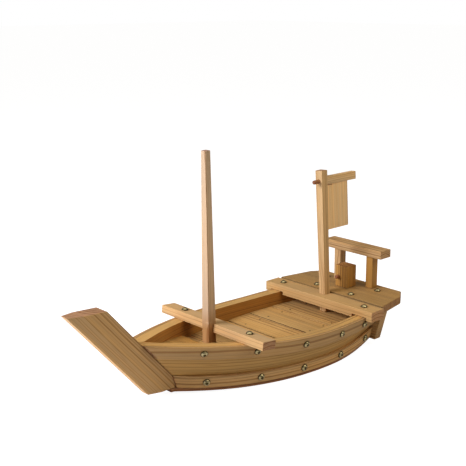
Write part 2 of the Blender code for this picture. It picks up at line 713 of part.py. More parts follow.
def build_nails(hull, thwart, seat, beam, deck, cleat):
    """Drive every nail into its strake, bar or deck board."""
    for word, side in SIDES:
        plank = hull["plank", side]
        upper = strake_spots(side, UPPER_NAIL_SHARES, upper_strake_foot, sheer)
        drive_nails("upper_nail_" + word, upper, (hull["upper", side], plank))
        lower = strake_spots(side, LOWER_NAIL_SHARES, foot, lower_strake_top)
        drive_nails("lower_nail_" + word, lower, (hull["lower", side], plank))

    up = Vector((0.0, 0.0, 1.0))
    planks = (hull["plank", -1], hull["plank", 1])
    tilt = thwart.rotation_euler.to_matrix() @ up
    across = hull_half(THWART_X, sheer(THWART_X), -PLANK_THICKNESS / 2)
    middle = Vector((THWART_X, 0.0, seat)) + tilt * (THWART_THICKNESS + CLEARANCE)
    length = THWART_THICKNESS + CLEARANCE + NAIL_BITE
    spots = [(word, middle + Vector((0.0, side * across, 0.0)), tilt, length) for word, side in SIDES]
    drive_nails("thwart_nail", spots, (thwart, *planks))

    across = hull_half(BEAM_X, SHEER_AFT_HEIGHT, -PLANK_THICKNESS / 2)
    place = Vector((BEAM_X, 0.0, BEAM_TOP + CLEARANCE))
    length = BEAM_TOP - SHEER_AFT_HEIGHT + CLEARANCE + NAIL_BITE
    spots = [(word, place + Vector((0.0, side * across, 0.0)), up, length) for word, side in SIDES]
    drive_nails("beam_nail", spots, (beam, *planks))

    length = DECK_THICKNESS + 2 * CLEARANCE + NAIL_BITE
    rows = (
        ("deck_fore_nail", TRANSOM_X + TRANSOM_THICKNESS / 2, DECK_NAIL_FRONT_SPACING, hull["transom"]),
        ("deck_aft_nail", DECK_AFT_X - DECK_NAIL_AFT_SETBACK, DECK_NAIL_AFT_SPACING, cleat),
    )
    for name, x, spacing, carrier in rows:
        spots = [(word, Vector((x, side * spacing / 2, DECK_REST)), up, length) for word, side in SIDES]
        drive_nails(name, spots, (deck, carrier))


def main():
    """Clear the scene and build the boat."""
    for obj in list(bpy.data.objects):
        bpy.data.objects.remove(obj)
    hull = build_hull()
    build_floor()
    thwart, seat = build_thwart_and_mast()
    beam, deck, cleat = build_deck()
    build_flag(beam)
    build_nails(hull, thwart, seat, beam, deck, cleat)
    bpy.context.view_layer.update()


main()
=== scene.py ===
"""Looks of a wooden serving boat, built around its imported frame.

Units are metres. The bow points to -X, starboard is +Y and the boat stands on Z = 0.
"""

import logging
import math
import random
from collections.abc import Callable, Sequence
from dataclasses import dataclass, field
from enum import Enum, IntEnum
from typing import Self

import bmesh
import bpy
from mathutils import Matrix, Vector

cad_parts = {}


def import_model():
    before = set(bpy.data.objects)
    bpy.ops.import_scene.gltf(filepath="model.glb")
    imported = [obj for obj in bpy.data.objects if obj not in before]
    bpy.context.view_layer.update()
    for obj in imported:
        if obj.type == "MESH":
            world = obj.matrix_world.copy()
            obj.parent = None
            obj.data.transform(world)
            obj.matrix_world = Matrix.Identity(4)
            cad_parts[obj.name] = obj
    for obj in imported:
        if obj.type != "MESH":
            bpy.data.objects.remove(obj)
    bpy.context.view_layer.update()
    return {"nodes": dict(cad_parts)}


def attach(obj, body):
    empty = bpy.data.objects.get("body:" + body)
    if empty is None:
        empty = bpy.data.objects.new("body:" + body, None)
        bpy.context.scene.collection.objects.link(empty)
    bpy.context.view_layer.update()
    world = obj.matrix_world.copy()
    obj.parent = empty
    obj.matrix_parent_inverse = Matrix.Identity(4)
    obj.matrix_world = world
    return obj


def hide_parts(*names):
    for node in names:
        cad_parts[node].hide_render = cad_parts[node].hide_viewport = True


LOG = logging.getLogger("serving_boat")

# Glued faces keep this gap, and a cut of this reach goes right through any board.
GAP = 0.0003
BEYOND = 1.0

# The bench's own origin.
HERE = Matrix()

# Points closer than this are one point. Edges flatter than the first angle are dissolved, sharper than the
# second are rounded, with this many facets.
SAME_PLACE = 1e-6
FLAT_ENOUGH = math.radians(0.5)
SHARP = math.radians(9)
EASE_STEPS = 3

# How squarely a face looks along an axis to count as an end or a broad face, as a narrow edge, or as part of
# a seam with painted shade.
BROAD_FACING = 0.7
EDGE_FACING = 0.8
SEAM_FACING = 0.3

# Where boards and dowels were cut from the trunk.
TRUNK_LENGTH = 3.0
PITH_SPREAD = (0.7, 1.3)
DOWEL_FROM_PITH = (0.010, 0.012)

# How many finer layers noise has, and how much more broad faces count than small ones for normals.
SOFT_DETAIL = 1.0
FINE_DETAIL = 3.0
BROAD_WEIGHT = 100

WHITE = (1.0, 1.0, 1.0, 1.0)
WARM = (1.0, 0.95, 0.86)

RGB = tuple[float, float, float]
Triple = tuple[float, float, float]
Span = tuple[float, float]
Height = Callable[[float], float]
Bend = Callable[[Vector], Sequence[float]]


class Body(Enum):
    """The bodies that pieces ride on."""

    BOAT = "boat"
    MAST = "mast"
    FLAG = "flag"


class Side(Enum):
    """The two sides of the boat and their direction along Y."""

    PORT = -1.0
    STARBOARD = 1.0

    @property
    def word(self) -> str:
        """Return the side's name as the pieces use it."""
        return self.name.lower()


class Way(IntEnum):
    """The directions of a board on the bench."""

    ALONG = 0
    ACROSS = 1
    THROUGH = 2


class Sawn(Enum):
    """How a board was sawn: the place of its middle across and above the pith, and how fine its rings are."""

    FLAT = (0.020, 0.060, 1.5)
    RIFT = (0.060, 0.040, 1.15)
    FINE = (0.080, 0.050, 1.70)
    EVEN = (0.115, 0.022, 1.20)
    QUARTER = (0.110, 0.016, 1.0)
    HEART = (0.004, 0.022, 1.3)
    LEVEL = (0.002, 0.070, 1.4)


def axes(origin: Sequence[float], along: Sequence[float], across: Sequence[float]) -> Matrix:
    """Return the matrix that carries a board from the bench to its place.

    Args:
        origin: where the middle of the board goes.
        along: where its grain points.
        across: where its width points.

    Returns:
        A matrix without scale.
    """
    first = Vector(along).normalized()
    second = Vector(across).normalized()
    rows = Matrix((first, second, first.cross(second)))
    return Matrix.Translation(origin) @ rows.transposed().to_4x4()


class Lie(Enum):
    """How a board lies in the boat: where its grain points and where its width points."""

    CROSSWISE = ((0.0, 1.0, 0.0), (-1.0, 0.0, 0.0))
    UPRIGHT = ((0.0, 0.0, 1.0), (1.0, 0.0, 0.0))
    ACROSS_ON_EDGE = ((0.0, 1.0, 0.0), (0.0, 0.0, 1.0))
    ALONG_ON_EDGE = ((1.0, 0.0, 0.0), (0.0, 0.0, 1.0))

    def at(self, x: float, y: float, z: float) -> Matrix:
        """Return the matrix that carries a board from the bench to that place."""
        return axes((x, y, z), *self.value)


class Value:
    """A shader number that takes part in Python arithmetic; each operation adds a Math node."""

    def __init__(self, graph: "Graph", socket: bpy.types.NodeSocket) -> None:
        """Wrap one output socket of a graph."""
        self.graph = graph
        self.socket = socket

    def __add__(self, other: "Value | float") -> "Value":
        """Return self + other."""
        return self.graph.math("ADD", self, other)

    def __sub__(self, other: "Value | float") -> "Value":
        """Return self - other."""
        return self.graph.math("SUBTRACT", self, other)

    def __rsub__(self, other: float) -> "Value":
        """Return other - self."""
        return self.graph.math("SUBTRACT", other, self)

    def __mul__(self, other: "Value | float") -> "Value":
        """Return self * other."""
        return self.graph.math("MULTIPLY", self, other)

    def __truediv__(self, other: "Value | float") -> "Value":
        """Return self / other."""
        return self.graph.math("DIVIDE", self, other)

    def __rtruediv__(self, other: float) -> "Value":
        """Return other / self."""
        return self.graph.math("DIVIDE", other, self)

    def __pow__(self, other: "Value | float") -> "Value":
        """Return self to the power of other."""
        return self.graph.math("POWER", self, other)

    def __floor__(self) -> "Value":
        """Return the whole part."""
        return self.graph.math("FLOOR", self)

    def fraction(self) -> "Value":
        """Return the part after the point."""
        return self.graph.math("FRACT", self)

    __radd__ = __add__
    __rmul__ = __mul__


class Graph:
    """The node tree of one material or of the world."""

    def __init__(self, owner: bpy.types.Material | bpy.types.World) -> None:
        """Start with the owner's nodes cleared away.

        Args:
            owner: the material or the world that is to be built.
        """
        owner.use_nodes = True
        self.owner = owner
        self.tree = owner.node_tree
        self.tree.nodes.clear()

    @classmethod
    def for_material(cls, name: str) -> Self:
        """Return the graph of a new material of that name."""
        return cls(bpy.data.materials.new(name))

    def node(self, kind: str, settings: dict | None = None, sockets: dict | None = None) -> bpy.types.Node:
        """Add a node.

        Args:
            kind: the node's type name.
            settings: its own properties, set before its sockets.
            sockets: values or links of its inputs, by name or number.

        Returns:
            The new node.
        """
        node = self.tree.nodes.new(kind)
        for key, setting in (settings or {}).items():
            setattr(node, key, setting)
        for key, given in (sockets or {}).items():
            source = given.socket if isinstance(given, Value) else given
            if isinstance(source, bpy.types.NodeSocket):
                self.tree.links.new(source, node.inputs[key])
            else:
                node.inputs[key].default_value = source
        return node

    def math(self, operation: str, *values: Value | float) -> Value:
        """Return the result of one Math node."""
        node = self.node("ShaderNodeMath", {"operation": operation}, dict(enumerate(values)))
        return Value(self, node.outputs[0])

    def vector(self, operation: str, *values: object) -> bpy.types.NodeSocket:
        """Return the vector that one Vector Math node gives."""
        return self.node("ShaderNodeVectorMath", {"operation": operation}, dict(enumerate(values))).outputs[0]

    def scaled(self, colour: bpy.types.NodeSocket, amount: Value) -> bpy.types.NodeSocket:
        """Return a colour made lighter or darker by an amount."""
        settings = {"operation": "SCALE"}
        return self.node("ShaderNodeVectorMath", settings, {0: colour, "Scale": amount}).outputs[0]

    def mix(self, amount: Value, first: object, second: object) -> bpy.types.NodeSocket:
        """Return the colour that lies between two others."""
        settings = {"data_type": "RGBA"}
        return self.node("ShaderNodeMix", settings, {0: amount, 6: first, 7: second}).outputs[2]

    def parts(self, vector: bpy.types.NodeSocket) -> list[Value]:
        """Return the three numbers of a vector."""
        node = self.node("ShaderNodeSeparateXYZ", None, {0: vector})
        return [Value(self, socket) for socket in node.outputs]

    def attribute(self, name: str) -> bpy.types.NodeSocket:
        """Return a vector that is stored on the piece itself."""
        return self.node("ShaderNodeAttribute", {"attribute_name": name}).outputs["Vector"]

    def noise(self, place: bpy.types.NodeSocket, stretch: Triple, detail: float = 2.0) -> Value:
        """Return cloudy noise between 0 and 1.

        Args:
            place: the point to read it at.
            stretch: how many clouds there are in a metre, along each axis.
            detail: how many finer layers are added.

        Returns:
            The noise at that point.
        """
        at = self.vector("MULTIPLY", place, stretch)
        node = self.node("ShaderNodeTexNoise", None, {"Vector": at, "Scale": 1.0, "Detail": detail})
        return Value(self, node.outputs[0])

    def line_noise(self, place: Value) -> Value:
        """Return cloudy noise along a line."""
        node = self.node("ShaderNodeTexNoise", {"noise_dimensions": "1D"}, {"W": place})
        return Value(self, node.outputs[0])

    def chance(self, number: Value) -> Value:
        """Return a random share that belongs to a whole number."""
        node = self.node("ShaderNodeTexWhiteNoise", {"noise_dimensions": "1D"}, {"W": number})
        return Value(self, node.outputs["Value"])

    def soft_step(self, value: Value, low: float, high: float) -> Value:
        """Return a smooth step.

        Args:
            value: the number that the step is taken over.
            low: where the step begins.
            high: where it ends.

        Returns:
            0 below low, 1 above high and a smooth rise between them.
        """
        settings = {"interpolation_type": "SMOOTHSTEP"}
        node = self.node("ShaderNodeMapRange", settings, {"Value": value, "From Min": low, "From Max": high})
        return Value(self, node.outputs[0])

    def relief(self, strength: float, depth: float, height: Value) -> bpy.types.NodeSocket:
        """Return the normal of a surface whose height is given."""
        sockets = {"Strength": strength, "Distance": depth, "Height": height}
        return self.node("ShaderNodeBump", None, sockets).outputs[0]

    def surface(self, sockets: dict) -> bpy.types.Material:
        """Finish the material with one Principled shader.

        Args:
            sockets: values or links of the shader's inputs.

        Returns:
            The finished material.
        """
        shader = self.node("ShaderNodeBsdfPrincipled", None, sockets)
        self.node("ShaderNodeOutputMaterial", None, {"Surface": shader.outputs[0]})
        return self.owner


class Finish:
    """What a piece is made of; each kind of finish builds its own material."""

    name: str
    slot: str
    stuff: str

    def material(self) -> bpy.types.Material:
        """Return the material, made on the first call."""
        return bpy.data.materials.get(self.name) or self.make()

    def make(self) -> bpy.types.Material:
        """Build the material, which each kind of finish does in its own way."""
        raise NotImplementedError


@dataclass(frozen=True)
class Wood(Finish):
    """A finish of bare or oiled wood with growth rings round the pith of the tree.

    Fibres, streaks, clouds, flecks, wanders and ripples are noise, given as clouds in a metre along, across
    and above the pith.
    """

    name: str
    slot: str
    early: RGB
    late: RGB
    end_tint: RGB = (0.82, 0.74, 0.90)
    warm_tint: RGB = (1.03, 0.97, 0.85)
    # The shade tint deepens the colour as painted shade, on the inner faces of the side planks and toward the
    # heel of the mast.
    deep_tint: RGB = (0.78, 0.60, 0.38)
    ring_width: float = 0.0040
    ring_strength: float = 1.0
    ring_faintest: float = 0.38
    ring_begin: Span = (0.62, 0.90)
    ring_end: Span = (0.94, 1.0)
    crowding: float = 70.0
    taper: float = 0.004
    wanders: Triple = (3.2, 12.0, 12.0)
    wander_reach: float = 0.0075
    ripples: Triple = (22.0, 60.0, 60.0)
    ripple_reach: float = 0.0012
    fibres: Triple = (16.0, 900.0, 900.0)
    fibre_light: float = 0.26
    streaks: Triple = (2.2, 170.0, 170.0)
    streak_light: float = 0.42
    clouds: Triple = (5.0, 14.0, 14.0)
    cloud_light: float = 0.26
    flecks: Triple = (13.0, 420.0, 420.0)
    fleck_step: Span = (0.62, 0.76)
    fleck_dark: float = 0.35
    end_dark: float = 0.90
    warm_step: Span = (0.80, 1.25)
    roughness: float = 0.50
    fibre_rough: float = 0.16
    ring_rough: float = 0.06
    end_rough: float = 0.18
    shine: float = 0.12
    relief: Span = (0.30, 0.0003)
    stuff: str = "wood"

    def make(self) -> bpy.types.Material:
        """Build the material from the grain that each board carries.

        Returns:
            The finished material.
        """
        graph = Graph.for_material(self.name)
        grain = graph.attribute("grain")
        tone, end, painted_shade = graph.parts(graph.attribute("board"))
        ring = self.rings(graph, grain)
        fibre = graph.noise(grain, self.fibres, FINE_DETAIL)
        streak = graph.noise(grain, self.streaks, FINE_DETAIL)
        cloud = graph.noise(grain, self.clouds, SOFT_DETAIL)
        fleck = graph.soft_step(graph.noise(grain, self.flecks, SOFT_DETAIL), *self.fleck_step)
        light = 1.0 + (fibre - 0.5) * self.fibre_light
        light += (streak - 0.5) * self.streak_light + (cloud - 0.5) * self.cloud_light

        dark = ring * (1.0 + end * self.end_dark) + fleck * self.fleck_dark
        colour = graph.mix(graph.math("MINIMUM", dark, 1.0), (*self.early, 1.0), (*self.late, 1.0))
        colour = graph.scaled(colour, light * tone)
        warm = graph.soft_step(streak + cloud, *self.warm_step)
        # The last tint is painted shade.
        for share, tint in ((warm, self.warm_tint), (end, self.end_tint), (painted_shade, self.deep_tint)):
            colour = graph.mix(share, colour, graph.vector("MULTIPLY", colour, tint))
        rough = self.roughness + (fibre - 0.5) * self.fibre_rough - ring * self.ring_rough
        return graph.surface({
            "Base Color": colour,
            "Roughness": rough + end * self.end_rough,
            "Specular IOR Level": self.shine,
            "Normal": graph.relief(*self.relief, fibre * 0.5 + ring * 0.5),
        })

    def rings(self, graph: Graph, grain: bpy.types.NodeSocket) -> Value:
        """Return how dark the late wood of the growth rings is.

        Args:
            graph: the graph to add to.
            grain: the place in the tree, measured along, across and above its pith.

        Returns:
            0 in the early wood and up to 1 in the darkest late wood.
        """
        along, across, above = graph.parts(grain)
        wander = graph.noise(grain, self.wanders, SOFT_DETAIL) - 0.5
        ripple = graph.noise(grain, self.ripples, SOFT_DETAIL) - 0.5
        bend = wander * self.wander_reach + ripple * self.ripple_reach + along * self.taper
        radius = (across * across + above * above) ** 0.5 + bend
        crowd = graph.line_noise(radius * self.crowding) - 0.5
        phase = radius / self.ring_width + crowd
        spread = phase.fraction()
        year = graph.chance(math.floor(phase))
        dark = graph.soft_step(spread, *self.ring_begin) * (1.0 - graph.soft_step(spread, *self.ring_end))
        return dark * (self.ring_faintest + year * (1.0 - self.ring_faintest)) * self.ring_strength


@dataclass(frozen=True)
class Brass(Finish):
    """A finish of worn brass in tarnished patches, darker at the rim with tarnish and painted shade, and in
    the middle of the dome with a painted reflection.
    """

    name: str = "old_brass"
    slot: str = "brass"
    bright: RGB = (0.42, 0.34, 0.17)
    tarnish: RGB = (0.07, 0.050, 0.018)
    patches: Triple = (260.0, 260.0, 260.0)
    specks: Triple = (1500.0, 1500.0, 1500.0)
    speck_light: Span = (0.85, 0.30)
    rim_step: Span = (0.80, 0.98)
    middle_step: Span = (0.25, 0.55)
    worn_share: float = 0.60
    dull_step: Span = (0.50, 0.95)
    roughness: Span = (0.24, 0.26)
    relief: Span = (0.25, 0.0002)
    speck_relief: float = 0.3
    stuff: str = "brass"

    def make(self) -> bpy.types.Material:
        """Build the material.

        Returns:
            The finished material.
        """
        graph = Graph.for_material(self.name)
        place = graph.node("ShaderNodeTexCoord").outputs["Object"]
        outward = graph.parts(graph.attribute("turned"))[0]
        patch = graph.noise(place, self.patches, FINE_DETAIL)
        speck = graph.noise(place, self.specks)
        # The rim darkens with tarnish and painted shade, the middle of the dome with a painted reflection.
        rim = graph.soft_step(outward, *self.rim_step)
        middle = 1.0 - graph.soft_step(outward, *self.middle_step)
        darkened = graph.soft_step(patch + (rim + middle) * self.worn_share, *self.dull_step)
        colour = graph.mix(darkened, (*self.bright, 1.0), (*self.tarnish, 1.0))
        low, more = self.speck_light
        smooth, rougher = self.roughness
        return graph.surface({
            "Base Color": graph.scaled(colour, low + speck * more),
            "Metallic": 1.0,
            "Roughness": smooth + darkened * rougher,
            "Normal": graph.relief(*self.relief, patch + speck * self.speck_relief),
        })


PINE = Wood("honey_pine", "pine", (0.53, 0.318, 0.128), (0.190, 0.074, 0.017))
PINE_PLAIN = Wood("plain_pine", "pine", (0.48, 0.285, 0.112), (0.200, 0.085, 0.022), ring_strength=0.72)
PINE_SIDE = Wood(
    "side_pine", "pine_dark", (0.51, 0.295, 0.094), (0.195, 0.080, 0.018),
    ring_width=0.0034, ring_strength=0.80)
PINE_SOFT = Wood(
    "soft_pine", "pine", (0.57, 0.352, 0.152), (0.25, 0.105, 0.030), (0.66, 0.56, 0.60), ring_strength=0.42)
PINE_GOLD = Wood("golden_pine", "pine", (0.56, 0.332, 0.122), (0.27, 0.118, 0.028), ring_strength=0.50)
PINE_FLOOR = Wood("floor_pine", "pine", (0.56, 0.326, 0.109), (0.200, 0.078, 0.018))
PINE_DEEP = Wood("deep_pine", "pine", (0.435, 0.226, 0.055), (0.130, 0.043, 0.007), ring_width=0.0042)
# The bottom board's pine is darker as painted shade of the hull's underside.
PINE_SHADED_BOTTOM = Wood("bottom_pine", "pine_dark", (0.36, 0.165, 0.070), (0.13, 0.046, 0.016))
PINE_PALE = Wood("pale_pine", "pine_pale", (0.575, 0.393, 0.228), (0.34, 0.182, 0.080), ring_width=0.0034)
PINE_LIGHT = Wood("light_pine", "pine", (0.68, 0.450, 0.215), (0.36, 0.180, 0.060), ring_width=0.0030)
DOWEL = Wood("red_dowel", "dowel", (0.36, 0.150, 0.055), (0.22, 0.078, 0.026), ring_width=0.0018)
BRASS = Brass()


@dataclass(frozen=True)
class Stock:
    """The wood that a board is made of, how the board was finished, and the light and shade painted on it.

    Attributes:
        finish: the kind of wood.
        sawn: how the board was sawn from the trunk.
        tone: how light it is beside the other boards.
        edge: the radius of its rounded edges.
        end_share: how strongly its ends take up the colour of end grain.
        edge_tone: how light its narrow edges are beside its broad faces, on the stem as a painted highlight;
            below 1
        it is painted shade in a seam, which also darkens the rounded corners.
        inner_age: how far its lower face is deepened in colour as painted shade.
        clean_edge: the edge that stays free of that painted shade, -1 or 1 across the board, or 0 for
            neither.
    """

    finish: Wood
    sawn: Sawn
    tone: float = 1.0
    edge: float = 0.0008
    end_share: float = 1.0
    edge_tone: float = 1.0
    inner_age: float = 0.0
    clean_edge: int = 0


# How round the floor boards are at their joints, and how light the painted shade in those seams is.
FLOOR_EDGE = 0.0026
FLOOR_SEAM_SHADE = 0.25

# The stock of each board by its node, or by its kind where both sides share one.
STOCK = {
    # The stem's narrow faces, its nose among them, are lightened as a painted highlight.
    "prow_stem": Stock(PINE_PLAIN, Sawn.EVEN, edge=0.0009, edge_tone=1.6),
    # The side planks' inner faces take painted shade.
    "side_plank": Stock(PINE_SIDE, Sawn.QUARTER, edge_tone=1.18, inner_age=1.0),
    "upper_strake": Stock(PINE_PLAIN, Sawn.FLAT, 0.93, edge_tone=1.15),
    "lower_strake": Stock(PINE_PLAIN, Sawn.RIFT, 1.24, edge_tone=1.12),
    "bottom_board": Stock(PINE_SHADED_BOTTOM, Sawn.FLAT),
    "transom": Stock(PINE, Sawn.RIFT, 0.88, edge=0.0009, end_share=0.2),
    "floor_board_1": Stock(PINE_FLOOR, Sawn.RIFT, 0.96, edge=0.0004),
    # Floor boards 2 to 6 darken at their seams with painted shade, board 2 not on its aft edge.
    "floor_board_2": Stock(PINE_FLOOR, Sawn.QUARTER, 0.96, FLOOR_EDGE, edge_tone=FLOOR_SEAM_SHADE, clean_edge=-1),
    "floor_board_3": Stock(PINE_FLOOR, Sawn.RIFT, 1.08, FLOOR_EDGE, edge_tone=FLOOR_SEAM_SHADE),
    "floor_board_4": Stock(PINE_FLOOR, Sawn.QUARTER, 1.12, FLOOR_EDGE, edge_tone=FLOOR_SEAM_SHADE),
    "floor_board_5": Stock(PINE_FLOOR, Sawn.RIFT, 0.98, FLOOR_EDGE, edge_tone=FLOOR_SEAM_SHADE),
    "floor_board_6": Stock(PINE_DEEP, Sawn.QUARTER, 1.12, FLOOR_EDGE, edge_tone=FLOOR_SEAM_SHADE),
    "floor_bearer": Stock(PINE_SIDE, Sawn.QUARTER, edge=FLOOR_EDGE),
    "thwart": Stock(PINE_SOFT, Sawn.LEVEL),
    "mast": Stock(PINE_PALE, Sawn.QUARTER, 0.98),
    "mast_step": Stock(PINE_SIDE, Sawn.FLAT),
    "deck_beam": Stock(PINE_GOLD, Sawn.LEVEL, 1.02, edge=0.0014),
    # The aft deck darkens along its front edge with painted shade, where it meets the beam.
    "aft_deck": Stock(PINE_FLOOR, Sawn.FLAT, 0.76, edge=0.0015, edge_tone=0.55, clean_edge=-1),
    "deck_cleat": Stock(PINE_SIDE, Sawn.RIFT, edge=0.0009),
    "gate_rail": Stock(PINE, Sawn.HEART, 1.04, edge=0.0009, end_share=0.3),
    # The port gate post takes the deeper pine as painted shade; the starboard post of the same wood stays
    # paler.
    "gate_post_port": Stock(PINE_DEEP, Sawn.QUARTER, 1.12),
    "gate_post_starboard": Stock(PINE, Sawn.QUARTER, 1.12),
    "bitt": Stock(PINE_DEEP, Sawn.FINE, 1.02, edge=0.0010),
    "flag_post": Stock(PINE_LIGHT, Sawn.QUARTER, 0.86),
    "flag_bar": Stock(PINE_LIGHT, Sawn.RIFT, 1.05),
    "flag_board": Stock(PINE_LIGHT, Sawn.QUARTER, 1.25, edge=0.0005),
}


class Work:
    """A piece on the bench: a bmesh that is shaped, placed and then fitted to the boat."""

    def __init__(self, node: str, finish: Finish) -> None:
        """Start an empty piece.

        Args:
            node: the CAD node that it stands for, or a name of its own.
            finish: what it is made of.
        """
        self.node = node
        self.finish = finish
        self.bm = bmesh.new()

    def place(self, matrix: Matrix) -> Self:
        """Carry the piece to its place."""
        bmesh.ops.transform(self.bm, matrix=matrix, verts=self.bm.verts)
        return self

    def bend(self, move: Bend) -> Self:
        """Move every point by a rule.

        Args:
            move: gives the new place of a point.

        Returns:
            The same piece.
        """
        for vert in self.bm.verts:
            vert.co = move(vert.co.copy())
        return self

    def fit(self, body: Body = Body.BOAT, stands_for: bool = True) -> bpy.types.Object:
        """Make the piece an object of the boat, with broad faces kept flat beside their rounded edges.

        Args:
            body: the body that it rides on.
            stands_for: whether the CAD node of the same name is hidden for it.

        Returns:
            The new object.
        """
        bmesh.ops.recalc_face_normals(self.bm, faces=self.bm.faces)
        name = f"{self.node}_{self.finish.stuff}"
        mesh = bpy.data.meshes.new(name)
        self.bm.to_mesh(mesh)
        self.bm.free()
        mesh.shade_smooth()
        mesh.materials.append(self.finish.material())
        piece = bpy.data.objects.new(name, mesh)
        bpy.context.scene.collection.objects.link(piece)
        piece.modifiers.new("even_normals", "WEIGHTED_NORMAL").weight = BROAD_WEIGHT
        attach(piece, body.value)
        if stands_for:
            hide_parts(self.node)
        return piece


class Board(Work):
    """A board on the bench: X runs along the grain, Y across it and Z through the thickness."""

    def __init__(self, node: str) -> None:
        """Choose the stock for the CAD node of that name."""
        self.stock = STOCK.get(node) or STOCK[node.rpartition("_")[0]]
        super().__init__(node, self.stock.finish)

    @classmethod
    def block(cls, node: str, size: Sequence[float]) -> Self:
        """Saw a square-edged block.

        Args:
            node: the CAD node that it stands for.
            size: its length, width and thickness.

        Returns:
            The board, with its middle at the origin.
        """
        board = cls(node)
        made = bmesh.ops.create_cube(board.bm, size=1.0)
        bmesh.ops.scale(board.bm, vec=size, verts=made["verts"])
        return board

    @classmethod
    def cut_out(cls, node: str, outline: Sequence[Sequence[float]], thickness: float) -> Self:
        """Saw a board to an outline.

        Args:
            node: the CAD node that it stands for.
            outline: the corners, along and across the grain.
            thickness: how thick the board is.

        Returns:
            The board, with the middle of its thickness at zero.
        """
        board = cls(node)
        corners = [board.bm.verts.new((*corner, -thickness / 2)) for corner in outline]
        face = board.bm.faces.new(corners)
        grown = bmesh.ops.extrude_face_region(board.bm, geom=[face])["geom"]
        upper = [part for part in grown if isinstance(part, bmesh.types.BMVert)]
        bmesh.ops.translate(board.bm, vec=(0.0, 0.0, thickness), verts=upper)
        bmesh.ops.recalc_face_normals(board.bm, faces=board.bm.faces)
        return board

    def split(self, way: Way, *places: float) -> Self:
        """Add loops of edges.

        Args:
            way: the direction that they are spaced along.
            places: where each of them goes.

        Returns:
            The same board.
        """
        normal = [float(way == other) for other in Way]
        for place in places:
            point = [place * part for part in normal]
            geom = [*self.bm.verts, *self.bm.edges, *self.bm.faces]
            bmesh.ops.bisect_plane(self.bm, geom=geom, plane_co=point, plane_no=normal)
        return self

    def notch(self, through: Way, low: Sequence[float], high: Sequence[float]) -> Self:
        """Cut a notch or a hole that goes right through the board.

        Args:
            through: the direction in which it goes through.
            low: the lowest corner of what is cut away.
            high: the highest corner of it.

        Returns:
            The same board.
        """
        for way in Way:
            if way != through:
                self.split(way, low[way], high[way])
        inside = [face for face in self.bm.faces if all(
            low[way] - SAME_PLACE < face.calc_center_median()[way] < high[way] + SAME_PLACE for way in Way)]
        bmesh.ops.delete(self.bm, geom=inside, context="FACES")
        rims = [edge for edge in self.bm.edges if edge.is_boundary and abs(
            edge.verts[0].co[through] - edge.verts[1].co[through]) < SAME_PLACE]
        bmesh.ops.bridge_loops(self.bm, edges=rims)
        bmesh.ops.recalc_face_normals(self.bm, faces=self.bm.faces)
        bmesh.ops.dissolve_limit(self.bm, angle_limit=FLAT_ENOUGH, verts=self.bm.verts, edges=self.bm.edges)
        return self

    def ease(self) -> Self:
        """Round every sharp edge by the small radius of the stock.

        Returns:
            The same board.
        """
        sharp = [edge for edge in self.bm.edges if edge.is_manifold and edge.calc_face_angle() > SHARP]
        bmesh.ops.bevel(
            self.bm, geom=sharp, offset=self.stock.edge, offset_type="OFFSET", segments=EASE_STEPS,
            profile=0.5, affect="EDGES", material=-1)
        return self

    def mark(self) -> Self:
        """Store the grain on the board while it still lies straight.

        Returns:
            The same board.
        """
        stock = self.stock
        chance = random.Random(self.node)
        across, above, fineness = stock.sawn.value
        flip = chance.choice((-1.0, 1.0))
        start = chance.uniform(0.0, TRUNK_LENGTH)
        shift = Vector((start, flip * across * chance.uniform(*PITH_SPREAD), above))
        grain = self.bm.verts.layers.float_vector.new("grain")
        board = self.bm.faces.layers.float_vector.new("board")
        self.bm.normal_update()
        # Below 1 the edge tone is painted seam shade, which reaches the rounded corners too; above 1 it
        # lightens the narrow edges, on the stem as a painted highlight.
        steep = SEAM_FACING if stock.edge_tone < 1.0 else EDGE_FACING
        for vert in self.bm.verts:
            vert[grain] = vert.co * Vector((1.0, fineness, fineness)) + shift
        for face in self.bm.faces:
            sideways = face.normal[Way.ACROSS]
            toned = abs(sideways) > steep and sideways * stock.clean_edge <= 0.0
            tone = stock.tone * (stock.edge_tone if toned else 1.0)
            end = stock.end_share * float(abs(face.normal[Way.ALONG]) > BROAD_FACING)
            # The inner faces of the board take painted shade.
            painted_shade = stock.inner_age * float(face.normal[Way.THROUGH] < -BROAD_FACING)
            face[board] = (tone, end, painted_shade)
        return self

    def deepen_below(self, level: float, fade: float) -> Self:
        """Deepen the colour toward the lower end of the board as painted shade.

        Args:
            level: the place along the board where the colour begins to deepen.
            fade: the length over which it deepens fully.

        Returns:
            The same board.
        """
        board = self.bm.faces.layers.float_vector["board"]
        for face in self.bm.faces:
            share = (level - face.calc_center_median()[Way.ALONG]) / fade
            face[board].z = min(1.0, max(0.0, share))
        return self

    def set_in(self, spot: Matrix, body: Body = Body.BOAT) -> bpy.types.Object:
        """Round the edges, store the grain and fit the board in its place."""
        return self.ease().mark().place(spot).fit(body)


